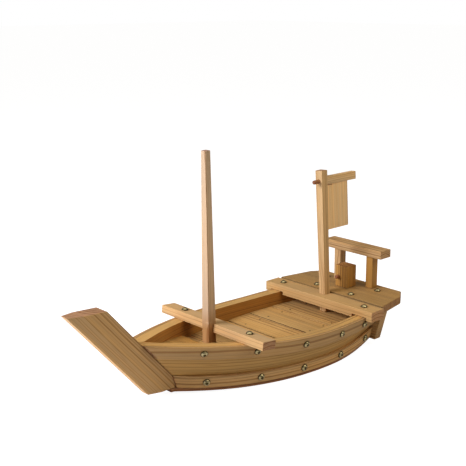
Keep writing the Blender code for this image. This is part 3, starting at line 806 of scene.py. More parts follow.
class Turning(Work):
    """A piece turned about the Z axis from a profile of radius and height."""

    # A dowel's rounding as a share of its radius, and how far its end is inset and drops, in roundings.
    ROUNDING = 0.22
    ROUND_END: tuple[Span, ...] = ((2.2, 0.0), (1.0, 0.25), (0.25, 1.0), (0.0, 2.2))

    def turn(self, profile: Sequence[Span], steps: int = 28, spot: Matrix = HERE) -> Self:
        """Spin a profile, which starts and ends on the axis.

        Args:
            profile: points of radius and height, from one end of the axis to the other.
            steps: how many sides the shape has.
            spot: where its axis stands.

        Returns:
            The same piece.
        """
        points = [self.bm.verts.new(spot @ Vector((radius, 0.0, height))) for radius, height in profile]
        edges = [self.bm.edges.new(pair) for pair in zip(points, points[1:])]
        bmesh.ops.spin(
            self.bm, geom=[*points, *edges], cent=spot.translation, axis=spot.col[2].xyz,
            angle=math.tau, steps=steps, use_merge=True)
        bmesh.ops.remove_doubles(self.bm, verts=self.bm.verts, dist=SAME_PLACE)
        return self

    def mark_turned(self, radius: float) -> Self:
        """Store on each point how far out it lies.

        Args:
            radius: the distance from the axis that counts as 1.

        Returns:
            The same piece.
        """
        turned = self.bm.verts.layers.float_vector.new("turned")
        for vert in self.bm.verts:
            vert[turned].x = math.hypot(vert.co.x, vert.co.y) / radius
        return self

    @classmethod
    def dowel(cls, node: str, radius: float, reach: float, depth: float) -> Self:
        """Turn a dowel that stands forward from the origin, with a rounded front end.

        Args:
            node: the CAD node that it stands for.
            radius: half its diameter.
            reach: how far it stands out towards -X.
            depth: how far it goes back into its hole.

        Returns:
            The dowel, with its grain stored, still to be placed.
        """
        ease = radius * cls.ROUNDING
        end = [(radius - inset * ease, reach - drop * ease) for inset, drop in cls.ROUND_END]
        rod = cls(node, DOWEL).turn([(0.0, reach), *end, (radius, -depth), (0.0, -depth)])
        shift = Vector((random.Random(node).uniform(0.0, TRUNK_LENGTH), *DOWEL_FROM_PITH))
        grain = rod.bm.verts.layers.float_vector.new("grain")
        board = rod.bm.faces.layers.float_vector.new("board")
        rod.bm.normal_update()
        for vert in rod.bm.verts:
            vert[grain] = vert.co.zxy + shift
        for face in rod.bm.faces:
            face[board] = (1.0, float(abs(face.normal.z) > BROAD_FACING), 0.0)
        return rod.place(Matrix.Rotation(math.radians(-90), 4, "Y"))


@dataclass(eq=False)
class HullLines:
    """The lines that the hull boards are bent to, taken on the outer face of the side planks."""

    overall: float = 0.6096
    stem_rake: float = math.radians(41.7)
    stem_tip: float = 0.1555
    stem_width: float = 0.057
    stem_thickness: float = 0.0255
    heel_run: float = 0.0065
    sheer_aft: float = 0.0602
    sheer_rise: float = 0.029
    sheer_power: float = 1.6
    sheer_flat: float = 0.093
    top_beam: float = 0.1017
    top_stern: float = 0.0942
    bow_reveal: float = 0.0005
    bow_fair: Span = (0.090, 2.0)
    foot_beam: float = 0.0937
    foot_stern: float = 0.0815
    foot_bow: float = 0.0152
    widest_ahead: float = 0.118
    hollow: float = 1.3
    bow_rocker: Triple = (0.0045, 0.160, 1.5)
    stern_rocker: Triple = (0.012, 0.105, 2.0)
    plan_power: float = 2.0
    plank: float = 0.015
    strake: float = 0.005
    strake_tip: float = 0.0010
    strake_thinning: Span = (0.026, 1.5)
    upper_strake: float = 0.0210
    lower_strake: float = 0.0150
    lower_strake_bow: float = 0.0200
    bottom: float = 0.005
    transom: float = 0.0145
    stern_overhang: float = 0.0672
    fit_rounds: int = 40
    slope: float = field(init=False)
    tip_x: float = field(init=False)
    stern_x: float = field(init=False)
    transom_x: float = field(init=False)
    aft_x: float = field(init=False)
    widest_x: float = field(init=False)
    bow_height: float = field(init=False)
    bow_x: float = field(init=False)
    heel_foot: float = field(init=False)
    heel_top: float = field(init=False)
    heel_x: float = field(init=False)
    strake_outer: float = field(init=False)
    bow_half: float = field(init=False)

    def __post_init__(self) -> None:
        """Work out the places that follow from the sizes."""
        self.slope = math.tan(self.stem_rake)
        self.tip_x = -self.overall / 2
        self.stern_x = self.overall / 2
        self.transom_x = self.stern_x - self.stern_overhang - self.transom
        self.aft_x = self.transom_x - GAP
        self.widest_x = self.transom_x - self.widest_ahead
        self.bow_height = self.sheer_aft + self.sheer_rise
        self.bow_x = self.tip_x + self.stem_width + (self.stem_tip - self.bow_height) * self.slope
        self.heel_foot = self.bow_rocker[0] + self.bottom + GAP
        self.heel_top = self.heel_foot + self.lower_strake_bow
        self.heel_x = self.bow_x + (self.bow_height - self.heel_top) * self.slope
        self.strake_outer = GAP + self.strake
        self.bow_half = self.stem_thickness / 2 - self.bow_reveal

    @staticmethod
    def rise(x: float, start: float, end: float, height: float, power: float) -> float:
        """Return a height that grows from zero at start to the full height at end."""
        return height * max(0.0, (x - start) / (end - start)) ** power

    def sheer(self, x: float) -> float:
        """Return the height of the gunwale."""
        start = self.transom_x - self.sheer_flat
        return self.sheer_aft + self.rise(x, start, self.bow_x, self.sheer_rise, self.sheer_power)

    def keel(self, x: float) -> float:
        """Return the height of the underside of the bottom board.

        Args:
            x: the place along the boat.

        Returns:
            The height at x, which rises toward both ends.
        """
        height, length, power = self.bow_rocker
        bow = self.rise(x, self.heel_x + length, self.heel_x, height, power)
        height, length, power = self.stern_rocker
        return bow + self.rise(x, self.transom_x - length, self.transom_x, height, power)

    def foot(self, x: float) -> float:
        """Return the height of the lower edge of the side planks."""
        return self.keel(x) + self.bottom + GAP

    def lower_strake_top(self, x: float) -> float:
        """Return the height of the upper edge of the lower strakes."""
        extra = self.rise(x, self.widest_x, self.heel_x, self.lower_strake_bow - self.lower_strake, 1.0)
        return self.foot(x) + self.lower_strake + extra

    def upper_strake_foot(self, x: float) -> float:
        """Return the height of the lower edge of the upper strakes."""
        return self.sheer(x) - self.upper_strake

    def plan(self, x: float, bow_x: float, bow: float, beam: float, stern: float) -> float:
        """Return the half breadth of a waterline.

        Args:
            x: the place along the boat.
            bow_x: where the waterline meets the stem.
            bow: its half breadth there.
            beam: its half breadth at the widest place.
            stern: its half breadth at the transom.

        Returns:
            The half breadth at x.
        """
        end_x, end = (bow_x, bow) if x < self.widest_x else (self.transom_x, stern)
        return beam - self.rise(x, self.widest_x, end_x, beam - end, self.plan_power)

    def stem_back(self, z: float) -> float:
        """Return x on the rear edge of the stem: raked down to the heel, then steeper."""
        heel = self.rise(z, self.heel_top, self.heel_foot, self.heel_run, 1.0)
        return self.bow_x + (self.bow_height - max(z, self.heel_top)) * self.slope + heel

    def swept(self, x: float, z: float) -> float:
        """Return the half breadth of a surface swept between the waterlines of the gunwale and the foot.

        Args:
            x: the place along the boat.
            z: the height.

        Returns:
            The half breadth there.
        """
        high = self.plan(x, self.bow_x, self.bow_half, self.top_beam, self.top_stern)
        low = self.plan(x, self.heel_x, self.foot_bow, self.foot_beam, self.foot_stern)
        foot = self.foot(x)
        share = max(0.0, (z - foot) / (self.sheer(x) - foot))
        return low + (high - low) * share**self.hollow

    def face(self, x: float, z: float) -> float:
        """Return the half breadth of the outer face of the side planks.

        Args:
            x: the place along the boat.
            z: the height.

        Returns:
            The half breadth there, drawn in to the stem at the bow.
        """
        length, power = self.bow_fair
        end = self.stem_back(z)
        fade = min(1.0, self.rise(x, end + length, end, 1.0, power))
        return self.swept(x, z) - (self.swept(end, z) - self.bow_half) * fade

    def flare(self, x: float, z: float) -> float:
        """Return how fast the plank face widens toward the stern."""
        return (self.face(x + GAP, z) - self.face(x - GAP, z)) / (2 * GAP)

    def half(self, x: float, z: float, offset: float) -> float:
        """Return the half breadth of a surface that lies offset outside the plank face."""
        upward = (self.face(x, z + GAP) - self.face(x, z - GAP)) / (2 * GAP)
        return self.face(x, z) + offset * math.sqrt(1.0 + self.flare(x, z) ** 2 + upward**2)

    def bow_end(self, height: Height) -> float:
        """Return x where a line of the hull meets the rear edge of the stem.

        Args:
            height: gives the height of the line at x.

        Returns:
            The place along the boat.
        """
        x = self.bow_x
        for _ in range(self.fit_rounds):
            x = self.stem_back(height(x)) + GAP
        return x


LINES = HullLines()


def evenly(low: float, high: float, count: int) -> list[float]:
    """Return the places that divide a length into equal shares, without its ends."""
    return [low + (high - low) * index / count for index in range(1, count)]


@dataclass
class Hull:
    """The stem, the bent sides with their strakes, the bottom board and the transom."""

    lines: HullLines = LINES
    stem_drop: float = 0.0035
    nose: float = 0.014
    nose_bevel: float = 0.020
    bottom_toe: float = 0.003
    bottom_ledge: float = 0.003
    transom_reveal: float = 0.0080
    stations: int = 56
    plank_rows: int = 8
    strake_rows: int = 3

    def build(self) -> list[bpy.types.Object]:
        """Build every board of the hull."""
        return [self.stem(), *self.sides(), self.bottom_board(), self.transom()]

    def stem(self) -> bpy.types.Object:
        """Build the raked stem with its narrowed nose.

        Returns:
            The finished piece.
        """
        lines = self.lines
        low = lines.heel_foot + GAP
        back = lines.tip_x + lines.stem_width
        high = lines.stem_tip - self.stem_drop
        outline = [
            (lines.tip_x + (lines.stem_tip - low) * lines.slope, low),
            (lines.stem_back(low), low),
            (lines.heel_x, lines.heel_top),
            (back + self.stem_drop * lines.slope, high),
            (lines.tip_x, lines.stem_tip),
        ]
        rake = (-math.sin(lines.stem_rake), 0.0, math.cos(lines.stem_rake))
        spot = axes((lines.tip_x, 0.0, lines.stem_tip), rake, (-rake[2], 0.0, rake[0]))
        bench = spot.inverted()
        flat = [(bench @ Vector((x, 0.0, z))).xy for x, z in outline]
        board = Board.cut_out("prow_stem", flat, lines.stem_thickness)
        line = -self.nose_bevel * math.cos(lines.stem_rake)
        board.split(Way.ACROSS, line)
        front = [vert for vert in board.bm.verts if vert.co.y > line / 2]
        bmesh.ops.scale(board.bm, vec=(1.0, 1.0, self.nose / lines.stem_thickness), verts=front)
        return board.set_in(spot)

    def sides(self) -> list[bpy.types.Object]:
        """Build the planks and strakes of both sides.

        Returns:
            The finished pieces.
        """
        lines = self.lines
        rows = [lines.foot, lines.lower_strake_top, lines.upper_strake_foot, lines.sheer]
        outer = lines.strake_outer
        made = []
        for side in Side:
            made.append(self.band("side_plank", side, rows, -lines.plank, 0.0))
            made.append(self.band("upper_strake", side, rows[2:], GAP, outer))
            made.append(self.band("lower_strake", side, rows[:2], GAP, outer, outer - GAP - lines.strake_tip))
        return made

    def band(
        self, kind: str, side: Side, rows: list[Height], inner: float, outer: float, thinning: float = 0.0
    ) -> bpy.types.Object:
        """Build one board of the hull side.

        Args:
            kind: the name of its CAD node, without the side.
            side: the side of the boat.
            rows: the heights of its lower edge, of any lines between and of its upper edge.
            inner: how far its inner face lies outside the plank face.
            outer: how far its outer face lies outside it.
            thinning: how much thinner it is at the stem.

        Returns:
            The finished piece.
        """
        lines = self.lines
        middle = [row(lines.widest_x) for row in rows]
        width = middle[-1] - middle[0]
        fronts = [lines.bow_end(row) for row in rows]
        length = lines.aft_x - fronts[0]
        levels = [level - (middle[0] + middle[-1]) / 2 for level in middle]
        count = self.plank_rows if len(rows) > 2 else self.strake_rows

        def onto_hull(point: Vector) -> Triple:
            """Return the place on the hull of a point of the straight board.

            Args:
                point: the point on the bench.

            Returns:
                Its place in the boat.
            """
            share = point.x / length + 0.5
            row = max(index for index, level in enumerate(levels[:-1]) if not index or point.y >= level)
            part = (point.y - levels[row]) / (levels[row + 1] - levels[row])
            ends = []
            for index in (row, row + 1):
                x = fronts[index] + (lines.aft_x - fronts[index]) * share
                ends.append((x, rows[index](x)))
            x, z = (first + (second - first) * part for first, second in zip(*ends))
            reach, power = lines.strake_thinning
            front = fronts[row] + (fronts[row + 1] - fronts[row]) * part
            thinned = lines.rise(x, front + reach, front, thinning, power)
            offset = inner + (point.z / (outer - inner) + 0.5) * (outer - thinned - inner)
            return x, side.value * max(GAP / 2, lines.half(x, z, offset)), z

        board = Board.block(f"{kind}_{side.word}", (length, width, outer - inner)).ease()
        board.split(Way.ALONG, *evenly(-length / 2, length / 2, self.stations))
        board.split(Way.ACROSS, *levels[1:-1], *evenly(-width / 2, width / 2, count))
        return board.mark().bend(onto_hull).fit()

    def bottom_board(self) -> bpy.types.Object:
        """Build the thin board under the hull.

        Returns:
            The finished piece.
        """
        lines = self.lines
        start = lines.heel_x - self.bottom_toe
        length = lines.aft_x - start
        width = 2 * lines.foot_beam

        def under_hull(point: Vector) -> Triple:
            """Return the place under the hull of a point of the straight board.

            Args:
                point: the point on the bench.

            Returns:
                Its place in the boat.
            """
            x = start + length / 2 + point.x
            half = max(lines.face(x, lines.foot(x)) + self.bottom_ledge, lines.stem_thickness / 2)
            return x, point.y * 2 / width * half, lines.keel(x) + lines.bottom / 2 + point.z

        board = Board.block("bottom_board", (length, width, lines.bottom)).ease()
        board.split(Way.ALONG, *evenly(-length / 2, length / 2, self.stations))
        return board.mark().bend(under_hull).fit()

    def transom(self) -> bpy.types.Object:
        """Build the board across the stern.

        Returns:
            The finished piece.
        """
        lines = self.lines
        x = lines.transom_x
        low = lines.keel(x)
        high = lines.sheer_aft
        narrow = lines.half(x, lines.foot(x), lines.strake_outer) + self.transom_reveal
        wide = lines.half(x, high, lines.strake_outer) + self.transom_reveal
        outline = [(narrow, low), (wide, high), (-wide, high), (-narrow, low)]
        board = Board.cut_out("transom", outline, lines.transom)
        return board.set_in(Lie.ACROSS_ON_EDGE.at(x + lines.transom / 2, 0.0, 0.0))


@dataclass(frozen=True)
class FloorSpan:
    """Where one floor board lies: x at its rear and front joint, and the heights of its top there."""

    aft: float
    fore: float
    low: float
    high: float

    def slope(self) -> float:
        """Return how steeply the board rises forward."""
        return (self.high - self.low) / (self.aft - self.fore)

    def height(self, x: float) -> float:
        """Return the height of the top of the board at x."""
        return self.low + (self.aft - x) * self.slope()


@dataclass
class Floor:
    """The crosswise floor boards, rising to the bow, the pins that hold them and the bearers below."""

    lines: HullLines = LINES
    top: float = 0.0406
    thickness: float = 0.008
    widths: tuple[float, ...] = (0.0605, 0.0525, 0.0525, 0.0525, 0.0691)
    aft_lifts: tuple[float, ...] = (0.0, 0.0, 0.0, 0.0, 0.0030, 0.0152)
    fore_lifts: tuple[float, ...] = (0.0, 0.0, 0.0, 0.0030, 0.0097, 0.0290)
    bow_setback: float = 0.003
    stations: int = 5
    bearer_width: float = 0.012
    bearer_spacing: float = 0.092
    bearer_step: float = 0.001
    bearer_stations: int = 16
    pin_from_joint: float = 0.010
    pin_radius: float = 0.0018
    pin_proud: float = 0.0002
    pin_depth: float = 0.004
    pin_head: tuple[Span, ...] = ((0.0, 1.0), (0.75, 0.9), (1.0, 0.0))
    pin_tip: float = 0.5
    pin_sides: int = 12

    def spans(self) -> list[FloorSpan]:
        """Lay out the boards.

        Returns:
            Where they lie, from the transom to the bow.
        """
        edges = [self.lines.aft_x]
        for width in self.widths:
            edges.append(edges[-1] - width)
        edges.append(self.lines.heel_x + self.bow_setback)
        lows = [self.top + lift for lift in self.aft_lifts]
        highs = [self.top + lift for lift in self.fore_lifts]
        return [FloorSpan(*ends) for ends in zip(edges, edges[1:], lows, highs)]

    def under(self, x: float) -> FloorSpan:
        """Return where the board lies that is at x."""
        return next(span for span in self.spans() if x >= span.fore)

    def build(self) -> list[bpy.types.Object]:
        """Build the boards, the bearers and the pins."""
        boards = [self.board(number, span) for number, span in enumerate(self.spans(), start=1)]
        return [*boards, *(self.bearer(side) for side in Side), self.pins()]

    def board(self, number: int, span: FloorSpan) -> bpy.types.Object:
        """Build one floor board between two joints.

        Args:
            number: its number, counted from the stern.
            span: where it lies.

        Returns:
            The finished piece.
        """
        lines = self.lines
        width = span.aft - span.fore - GAP
        middle = (span.aft + span.fore) / 2
        inner = -lines.plank - GAP
        length = 2 * lines.half(middle, span.height(middle), inner)

        def between_planks(point: Vector) -> Triple:
            """Return the place between the side planks of a point of the square board.

            Args:
                point: the point on the bench.

            Returns:
                Its place in the boat.
            """
            x = middle - point.y
            z = span.height(x) - self.thickness / 2 + point.z
            return x, point.x * 2 / length * lines.half(x, z, inner), z

        board = Board.block(f"floor_board_{number}", (length, width, self.thickness)).ease()
        board.split(Way.ACROSS, *evenly(-width / 2, width / 2, self.stations))
        return board.mark().bend(between_planks).fit()

    def bearer(self, side: Side) -> bpy.types.Object:
        """Build one lengthwise bar under the floor, cut to the curve of the bottom board.

        Args:
            side: the side of the boat.

        Returns:
            The finished piece.
        """
        lines = self.lines
        inner = -lines.plank - GAP
        start = lines.heel_x
        reach = (self.bearer_spacing + self.bearer_width) / 2 + GAP
        while lines.half(start, lines.foot(start), inner) < reach:
            start += self.bearer_step
        length = lines.aft_x - start
        depth = self.top - self.thickness - GAP - lines.foot(lines.widest_x)

        def on_bottom(point: Vector) -> Triple:
            """Return the place on the bottom board of a point of the square bar.

            Args:
                point: the point on the bench.

            Returns:
                Its place in the boat.
            """
            x = start + length / 2 + point.x
            low = lines.foot(x)
            high = self.under(x).height(x) - self.thickness - GAP
            z = low + (point.z / depth + 0.5) * (high - low)
            return x, side.value * self.bearer_spacing / 2 + point.y, z

        board = Board.block(f"floor_bearer_{side.word}", (length, self.bearer_width, depth)).ease()
        board.split(Way.ALONG, *evenly(-length / 2, length / 2, self.bearer_stations))
        return board.mark().bend(on_bottom).fit()

    def pins(self) -> bpy.types.Object:
        """Build the small flat-headed pins, two at each end of every floor board that is wide enough.

        Returns:
            One piece that holds them all.
        """
        work = Turning("floor_pins", BRASS)
        profile = [(out * self.pin_radius, up * self.pin_proud) for out, up in self.pin_head]
        profile += [(self.pin_radius * self.pin_tip, -self.pin_depth), (0.0, -self.pin_depth)]
        for span in self.spans():
            lean = Matrix.Rotation(math.atan(span.slope()), 4, "Y")
            for x in (span.aft - self.pin_from_joint, span.fore + self.pin_from_joint):
                z = span.height(x)
                room = self.lines.half(x, z, -self.lines.plank) - self.pin_from_joint
                for side in Side:
                    y = side.value * self.bearer_spacing / 2
                    if abs(y) <= room:
                        work.turn(profile, self.pin_sides, Matrix.Translation((x, y, z)) @ lean)
        # The pins are darkened all over by tarnish and painted shade, as the rim of a dome nail is.
        turned = work.bm.verts.layers.float_vector.new("turned")
        for vert in work.bm.verts:
            vert[turned] = (1.0, 0.0, 0.0)
        return work.fit(stands_for=False)


@dataclass
class ThwartAndMast:
    """The bar across the gunwales, the mast in its notch and the step that holds the foot of the mast."""

    lines: HullLines = LINES
    floor: Floor = field(default_factory=Floor)
    x: float = -0.0405
    width: float = 0.0256
    thickness: float = 0.0127
    length: float = 0.2243
    mast: float = 0.0146
    mast_top: float = 0.0097
    mast_height: float = 0.345
    rake: float = math.radians(1.0)
    heel_above: float = 0.004
    fade: float = 0.033
    fade_above: float = 0.022
    fade_steps: int = 12
    step_size: float = 0.022
    step_height: float = 0.005
    seat: float = field(init=False)
    tilt: float = field(init=False)
    foot: Vector = field(init=False)

    def __post_init__(self) -> None:
        """Work out how the thwart lies on the sheer and where the mast stands."""
        front = self.x - self.width / 2
        fore = self.lines.sheer(front)
        aft = self.lines.sheer(self.x + self.width / 2)
        self.seat = (fore + aft) / 2 + GAP
        self.tilt = math.atan2(fore - aft, self.width)
        toe = front - self.mast / 2
        rest = self.floor.under(toe).height(toe) + GAP
        self.foot = Vector((front + (self.seat - rest) * math.tan(self.rake), 0.0, rest))

    def spot(self) -> Matrix:
        """Return the place of the middle of the thwart's underside, with Z out of its upper face."""
        return Matrix.Translation((self.x, 0.0, self.seat)) @ Matrix.Rotation(self.tilt, 4, "Y")

    def build(self) -> list[bpy.types.Object]:
        """Build the thwart, the mast and the mast step."""
        return [self.thwart(), self.mast_pole(), self.mast_step()]

    def thwart(self) -> bpy.types.Object:
        """Build the thwart with the notch that the mast leans in.

        Returns:
            The finished piece.
        """
        board = Board.block("thwart", (self.length, self.width, self.thickness))
        half = self.mast / 2 + GAP
        edge = self.width / 2
        board.notch(Way.THROUGH, (-half, edge - half, -BEYOND), (half, edge, BEYOND))
        lean = math.tan(self.tilt + self.rake)
        for vert in board.bm.verts:
            if abs(vert.co.y - (edge - half)) < SAME_PLACE:
                vert.co.y += (vert.co.z + self.thickness / 2) * lean
        return board.set_in(self.spot() @ Lie.CROSSWISE.at(0.0, 0.0, self.thickness / 2))

    def mast_pole(self) -> bpy.types.Object:
        """Build the mast: square below the thwart, tapered above it, and darker toward its heel with painted
        shade.

        Returns:
            The finished piece.
        """
        length = (self.mast_height - self.foot.z) / math.cos(self.rake)
        heel = self.seat + self.thickness + self.heel_above - self.foot.z - length / 2
        board = Board.block("mast", (length, self.mast, self.mast))
        board.split(Way.ALONG, heel)
        top = [vert for vert in board.bm.verts if vert.co.x > length / 2 - SAME_PLACE]
        thin = self.mast_top / self.mast
        bmesh.ops.scale(board.bm, vec=(1.0, thin, thin), verts=top)
        level = heel + self.fade_above
        board.split(Way.ALONG, *evenly(level - self.fade, level, self.fade_steps))
        # The heel darkens with painted shade.
        board.ease().mark().deepen_below(level, self.fade)
        raked = Matrix.Translation(self.foot) @ Matrix.Rotation(-self.rake, 4, "Y")
        return board.place(raked @ Lie.UPRIGHT.at(0.0, 0.0, length / 2)).fit(Body.MAST)

    def mast_step(self) -> bpy.types.Object:
        """Build the socket block that lies on the slope of the floor.

        Returns:
            The finished piece.
        """
        board = Board.block("mast_step", (self.step_size, self.step_size, self.step_height))
        half = self.mast / 2 + 2 * GAP
        board.notch(Way.THROUGH, (-half, -half, -BEYOND), (half, half, BEYOND))
        span = self.floor.under(self.foot.x)
        slope = math.atan(span.slope())
        lean = math.tan(slope + self.rake)
        for vert in board.bm.verts:
            if max(abs(vert.co.x), abs(vert.co.y)) < half + SAME_PLACE:
                vert.co.y += (vert.co.z + self.step_height / 2) * lean
        rest = Matrix.Translation((self.foot.x, 0.0, span.height(self.foot.x) + GAP))
        flat = Lie.CROSSWISE.at(0.0, 0.0, self.step_height / 2)
        return board.set_in(rest @ Matrix.Rotation(slope, 4, "Y") @ flat)


@dataclass
class Flag:
    """The leaning post with its dowel, and the bar and board behind it."""

    floor_rest: float = 0.0409
    lean: float = math.radians(3.6)
    depth: float = 0.0130
    width: float = 0.0122
    top_size: float = 0.0142
    length: float = 0.2396
    offset: float = -0.0005
    behind: float = 0.0006
    peg_radius: float = 0.0034
    peg_height: float = 0.2214
    peg_reach: float = 0.0130
    peg_depth: float = 0.0220
    bar: Triple = (0.0750, 0.0135, 0.0100)
    board_length: float = 0.0545
    board_height: float = 0.0762
    board_thickness: float = 0.0060
    slit_length: float = 0.0160
    slit_depth: float = 0.0012
    hang: float = field(init=False)

    def __post_init__(self) -> None:
        """Work out how far behind the middle of the post the bar begins."""
        self.hang = self.top_size / 2 + GAP

    def slot(self, height: float) -> list[float]:
        """Return half the width and half the depth of a slot that clears the post at a height."""
        share = (height - self.floor_rest) / self.length
        return [(size + (self.top_size - size) * share) / 2 + GAP for size in (self.width, self.depth)]

    def build(self, beam_aft: float) -> list[bpy.types.Object]:
        """Build the flag on its post.

        Args:
            beam_aft: x at the rear edge of the deck beam.

        Returns:
            The finished pieces.
        """
        foot = (beam_aft - self.behind - self.depth / 2, self.offset, self.floor_rest)
        spot = Matrix.Translation(foot) @ Matrix.Rotation(-self.lean, 4, "X")
        peg = Turning.dowel("flag_peg", self.peg_radius, self.peg_reach, self.peg_depth)
        peg.place(spot @ Matrix.Translation((-self.top_size / 2, 0.0, self.peg_height)))
        return [self.post(spot), peg.fit(Body.FLAG), self.flag_bar(spot), self.flag_board(spot)]

    def post(self, spot: Matrix) -> bpy.types.Object:
        """Build the post, a little thicker at its top.

        Args:
            spot: the place of its foot.

        Returns:
            The finished piece.
        """
        lift = self.width / 2 * math.tan(self.lean)
        length = self.length - lift
        board = Board.block("flag_post", (length, self.depth, self.width))
        top = [vert for vert in board.bm.verts if vert.co.x > 0.0]
        growth = (1.0, self.top_size / self.depth, self.top_size / self.width)
        bmesh.ops.scale(board.bm, vec=growth, verts=top)
        return board.set_in(spot @ Lie.UPRIGHT.at(0.0, 0.0, lift + length / 2), Body.FLAG)

    def flag_bar(self, spot: Matrix) -> bpy.types.Object:
        """Build the bar behind the post, whose foot stands at the given spot."""
        middle = Lie.ALONG_ON_EDGE.at(self.hang + self.bar[0] / 2, 0.0, self.peg_height)
        return Board.block("flag_bar", self.bar).set_in(spot @ middle, Body.FLAG)

    def flag_board(self, spot: Matrix) -> bpy.types.Object:
        """Build the thin board under the bar, with the slit beside the post.

        Args:
            spot: the place of the foot of the post.

        Returns:
            The finished piece.
        """
        top = -self.bar[1] / 2 - GAP
        low = top - self.board_height
        notch = top - self.slit_depth
        outline = [
            (low, 0.0),
            (low, self.board_length),
            (top, self.board_length),
            (top, self.slit_length),
            (notch, self.slit_length),
            (notch, 0.0),
        ]
        board = Board.cut_out("flag_board", outline, self.board_thickness)
        return board.set_in(spot @ Lie.UPRIGHT.at(self.hang, 0.0, self.peg_height), Body.FLAG)


@dataclass
class SternDeck:
    """The notched beam, the aft deck, the cleat under it, the gate and the bitt with its pin."""

    lines: HullLines = LINES
    beam_width: float = 0.0305
    beam_thickness: float = 0.0159
    beam_length: float = 0.2342
    beam_top: float = 0.0720
    beam_slack: float = 0.0010
    deck_gap: float = 0.0020
    deck_length: float = 0.0868
    deck_thickness: float = 0.0133
    deck_half_front: float = 0.1120
    deck_half_aft: float = 0.0960
    corner_along: float = 0.0220
    corner_across: float = 0.0114
    cleat: Triple = (0.146, 0.018, 0.012)
    cleat_setback: float = 0.0270
    rail: Triple = (0.124, 0.0268, 0.0136)
    rail_setback: float = 0.0023
    post: Triple = (0.0550, 0.0149, 0.0136)
    post_spacing: float = 0.070
    post_setback: float = 0.0040
    bitt: Triple = (0.0374, 0.0238, 0.0258)
    bitt_setback: float = 0.0317
    pin_radius: float = 0.0033
    pin_reach: float = 0.0070
    pin_depth: float = 0.0120
    pin_height: float = 0.0175
    pin_offset: float = 0.0060
    foot: float = field(init=False)
    rest: float = field(init=False)
    front: float = field(init=False)
    beam_x: float = field(init=False)
    cleat_x: float = field(init=False)
    bitt_x: float = field(init=False)

    def __post_init__(self) -> None:
        """Work out the heights and places that follow from the sizes."""
        stern = self.lines.stern_x
        self.foot = self.lines.sheer_aft + GAP
        self.rest = self.foot + self.deck_thickness + GAP
        self.front = stern - self.deck_length
        self.beam_x = self.front - self.deck_gap - self.beam_width / 2
        self.cleat_x = stern - self.cleat_setback
        self.bitt_x = stern - self.bitt_setback - self.bitt[1] / 2

    def build(self, flag: Flag) -> list[bpy.types.Object]:
        """Build the pieces of the stern; the flag says where the beam is slotted for its post."""
        return [self.beam(flag), self.deck(), *self.blocks(), self.bitt_pin()]

    def beam(self, flag: Flag) -> bpy.types.Object:
        """Build the beam, notched over the gunwales and slotted for the flag post.

        Args:
            flag: the flag whose post stands in the slot.

        Returns:
            The finished piece.
        """
        lines = self.lines
        wide = self.beam_width / 2
        tall = self.beam_thickness / 2
        low = self.beam_top - self.beam_thickness
        middle = (self.beam_top + low) / 2
        outer = lines.half(self.beam_x - wide, lines.sheer_aft, lines.strake_outer) + self.beam_slack
        inner = lines.half(self.beam_x + wide, low, -lines.plank) - self.beam_slack
        board = Board.block("deck_beam", (self.beam_length, self.beam_width, self.beam_thickness))
        for first, second in ((inner, outer), (-outer, -inner)):
            board.notch(Way.ACROSS, (first, -BEYOND, -tall), (second, BEYOND, self.foot - middle))
        lean = math.tan(flag.lean)
        centre = flag.offset + (middle - flag.floor_rest) * lean
        half, fore = flag.slot(self.beam_top + self.beam_thickness)
        end = -wide + flag.behind + flag.depth / 2 + fore
        board.notch(Way.THROUGH, (centre - half, -wide, -BEYOND), (centre + half, end, BEYOND))
        for vert in board.bm.verts:
            if abs(abs(vert.co.x - centre) - half) < SAME_PLACE and vert.co.y < end + SAME_PLACE:
                vert.co.x += vert.co.z * lean
        return board.set_in(Lie.CROSSWISE.at(self.beam_x, 0.0, middle))

    def deck(self) -> bpy.types.Object:
        """Build the wide board of the aft deck, narrowed aft and cut at its rear corners.

        Returns:
            The finished piece.
        """
        stern = self.lines.stern_x
        slope = (self.deck_half_front - self.deck_half_aft) / self.deck_length
        half = [
            (self.deck_half_front, -self.front),
            (self.deck_half_aft + slope * self.corner_along, self.corner_along - stern),
            (self.deck_half_aft - self.corner_across, -stern),
        ]
        outline = [*half, *((-y, x) for y, x in reversed(half))]
        board = Board.cut_out("aft_deck", outline, self.deck_thickness)
        return board.set_in(Lie.CROSSWISE.at(0.0, 0.0, self.foot + self.deck_thickness / 2))

    def blocks(self) -> list[bpy.types.Object]:
        """Build the square blocks: the bar that the rear deck nails go into, the gate and the bitt.

        Returns:
            The finished pieces.
        """
        cleat_z = self.foot - GAP - self.cleat[2] / 2
        rail_x = self.lines.stern_x - self.rail_setback - self.rail[1]
        rail_z = self.rest + self.post[0] + GAP + self.rail[2] / 2
        post_x = rail_x + self.post_setback + self.post[1] / 2
        post_y = self.post_spacing / 2
        post_z = self.rest + self.post[0] / 2
        rows = [
            ("deck_cleat", self.cleat, Lie.CROSSWISE.at(self.cleat_x, 0.0, cleat_z)),
            ("gate_rail", self.rail, Lie.CROSSWISE.at(rail_x + self.rail[1] / 2, 0.0, rail_z)),
            ("gate_post_port", self.post, Lie.UPRIGHT.at(post_x, -post_y, post_z)),
            ("gate_post_starboard", self.post, Lie.UPRIGHT.at(post_x, post_y, post_z)),
            ("bitt", self.bitt, Lie.UPRIGHT.at(self.bitt_x, 0.0, self.rest + self.bitt[0] / 2)),
        ]
        return [Board.block(node, size).set_in(spot) for node, size, spot in rows]

    def bitt_pin(self) -> bpy.types.Object:
        """Build the dowel stub in the front of the bitt.

        Returns:
            The finished piece.
        """
        place = (self.bitt_x - self.bitt[1] / 2, self.pin_offset, self.rest + self.pin_height)
        rod = Turning.dowel("bitt_pin", self.pin_radius, self.pin_reach, self.pin_depth)
        return rod.place(Matrix.Translation(place)).fit()


